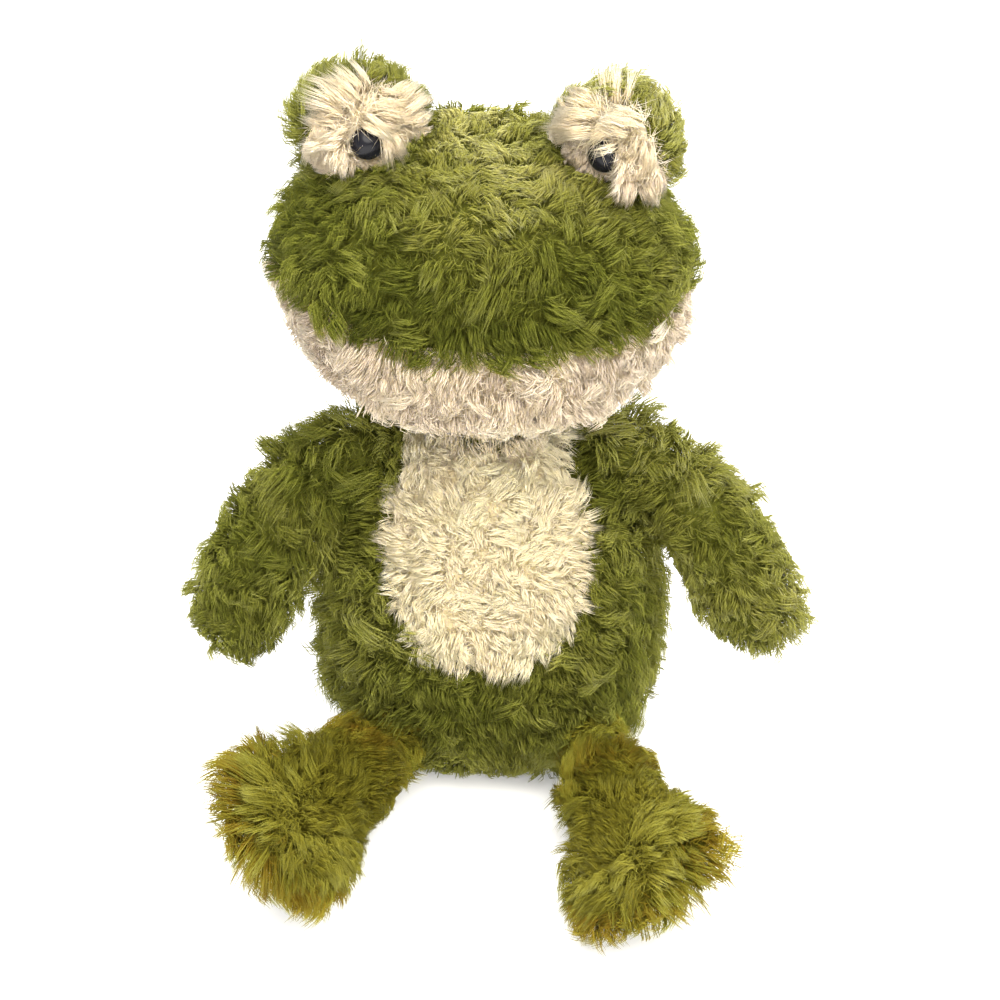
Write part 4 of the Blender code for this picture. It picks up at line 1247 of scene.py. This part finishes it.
def limb_panels(label):
    limb, root, normal = LIMBS[label]
    is_arm = label.startswith("arm")
    part = label.split("_")[0]
    side = label.split("_")[1]
    skin = Skin(limb, 32, 0, -CLOTH_DEPTH)
    place = np.array(root)
    facing = np.array(normal)
    end = np.array(limb.spine(limb.stations[-1][0]))
    across, through, along = (np.array(vector) for vector in limb.frames(limb.stations[-1][0]))

    def outside_body(points):
        return BODY.depth_share(points, -CLOTH_DEPTH - 0.001) > 1.0

    def ahead(points):
        return (points - place) @ facing >= 0.0

    def behind(points):
        return (points - place) @ facing < 0.0

    far = end + along * 0.05
    whorl = end + along * 0.006 - across * 0.003 + through * 0.016

    def down_the_arm(points):
        return unit(far - points) + 0.55 * unit(points - end)

    def star_of_the_flipper(points):
        away = points - whorl
        distance = np.linalg.norm(away, axis=1)[:, None]
        near = np.exp(-(distance / 0.050) ** 2)
        return away / (distance + 0.008) * (0.40 + near) + along * (0.50 * (1.0 - near))

    def arm_painted_light(points, tone):
        # painted highlight or painted shade, one value for each arm
        return tone + ARM_PAINTED_LIGHT[side]

    def browner_rim_and_shin_shade(points, tone):
        local = points - end
        out = np.abs(local @ across) / 0.029
        tip = np.clip(local @ along, 0.0, None) / 0.026
        rim = np.clip((np.hypot(out, tip) - 0.74) / 0.25, 0.0, 1.0) * (local @ through < 0.004)
        rim *= local @ along > -0.035
        # painted shade: the shin, which lies under the belly, is painted darker
        shin = np.clip((-0.020 - local @ along) / 0.020, 0.0, 1.0)
        return LEG_TONE_BASE[side] + 0.56 * tone - 0.42 * rim - SHIN_SHADES[side] * shin

    def fuller_shoulder(points):
        """Longer pile over the shoulder, and longer under the arm that hangs against the body."""
        close_by = np.exp(-(np.linalg.norm(points - place, axis=1) / 0.040) ** 2)
        top = close_by * (points[:, 2] > place[2] - 0.006)
        under = np.clip((end - points) @ across / 0.018, 0.0, 1.0) * (side == "right")
        middle = np.exp(-(((points - end) @ along + 0.035) / 0.030) ** 2)
        length = 1.0 + FULLER_TOPS[side] * top + 0.55 * under * middle
        for far_along, far_across, amount in HAND_TUCKS[side]:
            aside = np.hypot((points - end) @ along - far_along, (points - end) @ across - far_across)
            length = length + amount * np.exp(-(aside / 0.013) ** 2)
        return length

    def longer_toes(points):
        local = points - end
        toes = np.clip((local @ along + 0.035) / 0.030, 0.0, 1.0)
        inward = np.clip(local @ across / 0.025, -1.0, 1.0)
        shin = 0.92 + FULLER_SHIN[side] * inward
        forward = np.clip((local @ along - 0.012) / 0.015, -1.0, 1.0)
        tips = TOE_TIPS[side] * np.clip(forward, 0.0, 1.0)
        tips += 0.70 * np.clip(-inward, 0.0, 1.0) * forward * (side == "left")
        return shin * (1.0 - toes) + (1.02 - 0.16 * inward + tips) * toes

    seed = 50 + 7 * list(LIMBS).index(label)
    for step, (name, keep) in enumerate(zip(("front", "back") if is_arm else ("top", "sole"),
                                            (ahead, behind))):
        def outer(points, keep=keep):
            return keep(points) & outside_body(points)

        if is_arm:
            pile = Pile((0.38e-6, 0.60e-6)[step], lock_area=2.5e-5)
            brushed, tone_of, length_of, slot = down_the_arm, arm_painted_light, fuller_shoulder, "green_pile"
        else:
            pile = Pile((0.33e-6, 0.55e-6)[step], length=0.0150, fatness=0.00018, lock_cling=0.10,
                        ruffle=0.12, drift=0.10, lie=1.25)
            brushed, tone_of, length_of, slot = star_of_the_flipper, browner_rim_and_shin_shade, longer_toes, "leg_pile"
        furred_panel(f"{part}_{name}_plush_{side}", f"{part}_{name}_{side}", label, slot, [
            grown(skin, outer, brushed, pile, seed + step, tone_of=tone_of, length_of=length_of),
            cloth_of(limb, keep, 32)])


for label in LIMBS:
    limb_panels(label)

# %% [markdown]
# ## The fillings
#
# Under the cloth lies the stuffing: lumpy white fibre in the head, mounds, body and limbs, and a bag of
# pellets in the seat, which makes the frog sit. They are the same forms drawn in further, with a slow
# swell and dip like that of hand-stuffed fibre.

# %% Fillings
LUMP = 0.0006


def pushed_out_of_ball(points, centre, radius):
    away = points - np.array(centre)
    distance = np.linalg.norm(away, axis=1, keepdims=True)
    pushed_out = np.array(centre) + away / np.maximum(distance, 1e-9) * radius
    return np.where(distance < radius, pushed_out, points)


def filling(name, node, body, finish, form, sides, rings, shaped, depth=FILLING_DEPTH):
    made = facing_out(form.ball(sides, rings, -depth))
    points = np.array([vertex.co[:] for vertex in made.verts])
    normals = np.array([vertex.normal[:] for vertex in made.verts])
    points = points - normals * (LUMP * (1.0 + slow_noise(points, 0.018, 5)))[:, None]
    points = shaped(points)
    for vertex, place in zip(made.verts, points):
        vertex.co = place
    mesh = bpy.data.meshes.new(name)
    made.to_mesh(mesh)
    made.free()
    mesh.shade_smooth()
    mesh.materials.append(finish)
    piece = bpy.data.objects.new(name, mesh)
    bpy.context.scene.collection.objects.link(piece)
    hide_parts(node)
    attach(piece, body)
    print(name, len(mesh.polygons), "faces")


def above_neck(points):
    return pushed_out_of_ball(points, NECK_CENTRE, NECK_RADIUS - CLOTH_DEPTH + 0.001)


def over_head(points):
    share = HEAD.depth_share(points, -CLOTH_DEPTH + 0.0015)
    centre = moved(np.array([HEAD_CENTRE[:]]), HEAD_LEAN)[0]
    scale = np.where(share < 1.0, np.maximum(share, 1e-6) ** (-1.0 / 2.15), 1.0)
    return centre + (points - centre) * scale[:, None]


BAG_SIZES = np.array((0.045, 0.030, 0.030))


def over_bag(points):
    share = np.linalg.norm(points / (BAG_SIZES + 0.001), axis=1)
    scale = np.where(share < 1.0, 1.0 / np.maximum(share, 1e-6), 1.0)
    return points * scale[:, None]


def body_filling(points):
    points = over_bag(points)
    for side in (-1.0, 1.0):
        for seat, radius in ((SHOULDER, SHOULDER_RADIUS), (HIP, HIP_RADIUS)):
            place = Vector((side * seat.x, seat.y, seat.z))
            points = pushed_out_of_ball(points, place, radius - CLOTH_DEPTH + 0.001)
    return points


filling("head_fibre", "head_stuffing", "head", fibre_filling, HEAD, 40, 28, above_neck)
filling("body_fibre", "torso_stuffing", "torso", fibre_filling, BODY, 40, 32, body_filling)
for label, mound in MOUNDS.items():
    filling("mound_fibre_" + label, "eye_stuffing_" + label, "head", fibre_filling, mound, 24,
            16, over_head)
for label, (limb, root, normal) in LIMBS.items():
    part, side = label.split("_")
    filling(f"{part}_fibre_{side}", f"{part}_stuffing_{side}", label, fibre_filling, limb, 20,
            0, lambda points: points)


def pellet_bag():
    made = bmesh.new()
    bmesh.ops.create_uvsphere(made, u_segments=32, v_segments=20, radius=1.0)
    directions = np.array([vertex.co[:] for vertex in made.verts])
    for vertex, place in zip(made.verts, directions * BAG_SIZES):
        lump = 1.0 - 0.03 * (1.0 + math.sin(place[0] * 900.0) * math.sin(place[1] * 900.0))
        vertex.co = (place[0] * lump, place[1] * lump, max(FILLING_DEPTH, place[2] * lump))
    bmesh.ops.remove_doubles(made, verts=made.verts, dist=1e-6)
    facing_out(made)
    mesh = bpy.data.meshes.new("pellet_bag")
    made.to_mesh(mesh)
    made.free()
    mesh.shade_smooth()
    mesh.materials.append(pellet_calico)
    bag = bpy.data.objects.new("pellet_bag", mesh)
    bpy.context.scene.collection.objects.link(bag)
    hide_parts("seat_pellet_bag")
    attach(bag, "torso")
    print("pellet_bag", len(mesh.polygons), "faces")


pellet_bag()

# %% [markdown]
# ## Floor and light
#
# The picture was taken against plain white in soft light from above. A large lamp over the frog gives that,
# and a pale world fills the shadows. The floor looks white to the camera and still takes the shadow.

# %% Floor, lamps and world
def make_floor():
    made = bmesh.new()
    bmesh.ops.create_grid(made, x_segments=2, y_segments=2, size=6.0)
    mesh = bpy.data.meshes.new("floor")
    made.to_mesh(mesh)
    made.free()
    finish = Finish("floor_paint", Roughness=0.9, Specular_IOR_Level=0.1)
    light_path = finish.node("ShaderNodeLightPath", output=0)
    finish.set(Base_Color=(0.88, 0.88, 0.88, 1.0), Emission_Color=(1.0, 1.0, 1.0, 1.0),
               Emission_Strength=light_path * 0.22)
    mesh.materials.append(finish.material)
    floor = bpy.data.objects.new("floor", mesh)
    bpy.context.scene.collection.objects.link(floor)


def make_lamp(name, place, aim, size, power, colour):
    data = bpy.data.lights.new(name, "AREA")
    data.shape = "DISK"
    data.size = size
    data.energy = power
    data.color = colour
    lamp = bpy.data.objects.new(name, data)
    lamp.location = place
    lamp.rotation_euler = (Vector(aim) - Vector(place)).to_track_quat("-Z", "Y").to_euler()
    bpy.context.scene.collection.objects.link(lamp)


make_floor()
make_lamp("top_lamp", (0.10, -0.20, 1.30), (0.0, 0.0, 0.15), 1.5, 32.0, (1.0, 0.97, 0.90))
make_lamp("front_lamp", (0.20, -1.15, 1.05), (0.0, 0.0, 0.12), 1.5, 40.0, (1.0, 0.96, 0.88))
world = bpy.data.worlds.new("world")
world.use_nodes = True
world.node_tree.nodes["Background"].inputs["Color"].default_value = (1.0, 1.0, 1.0, 1.0)
world.node_tree.nodes["Background"].inputs["Strength"].default_value = 0.90
bpy.context.scene.world = world
bpy.context.scene.view_settings.view_transform = "Standard"
print("floor, two lamps and the world")

# %% [markdown]
# ## The triangle count
#
# The triangles of all panels are added up and printed.

# %% The triangle count
print("triangles in all panels:", sum(panel_triangles.values()))
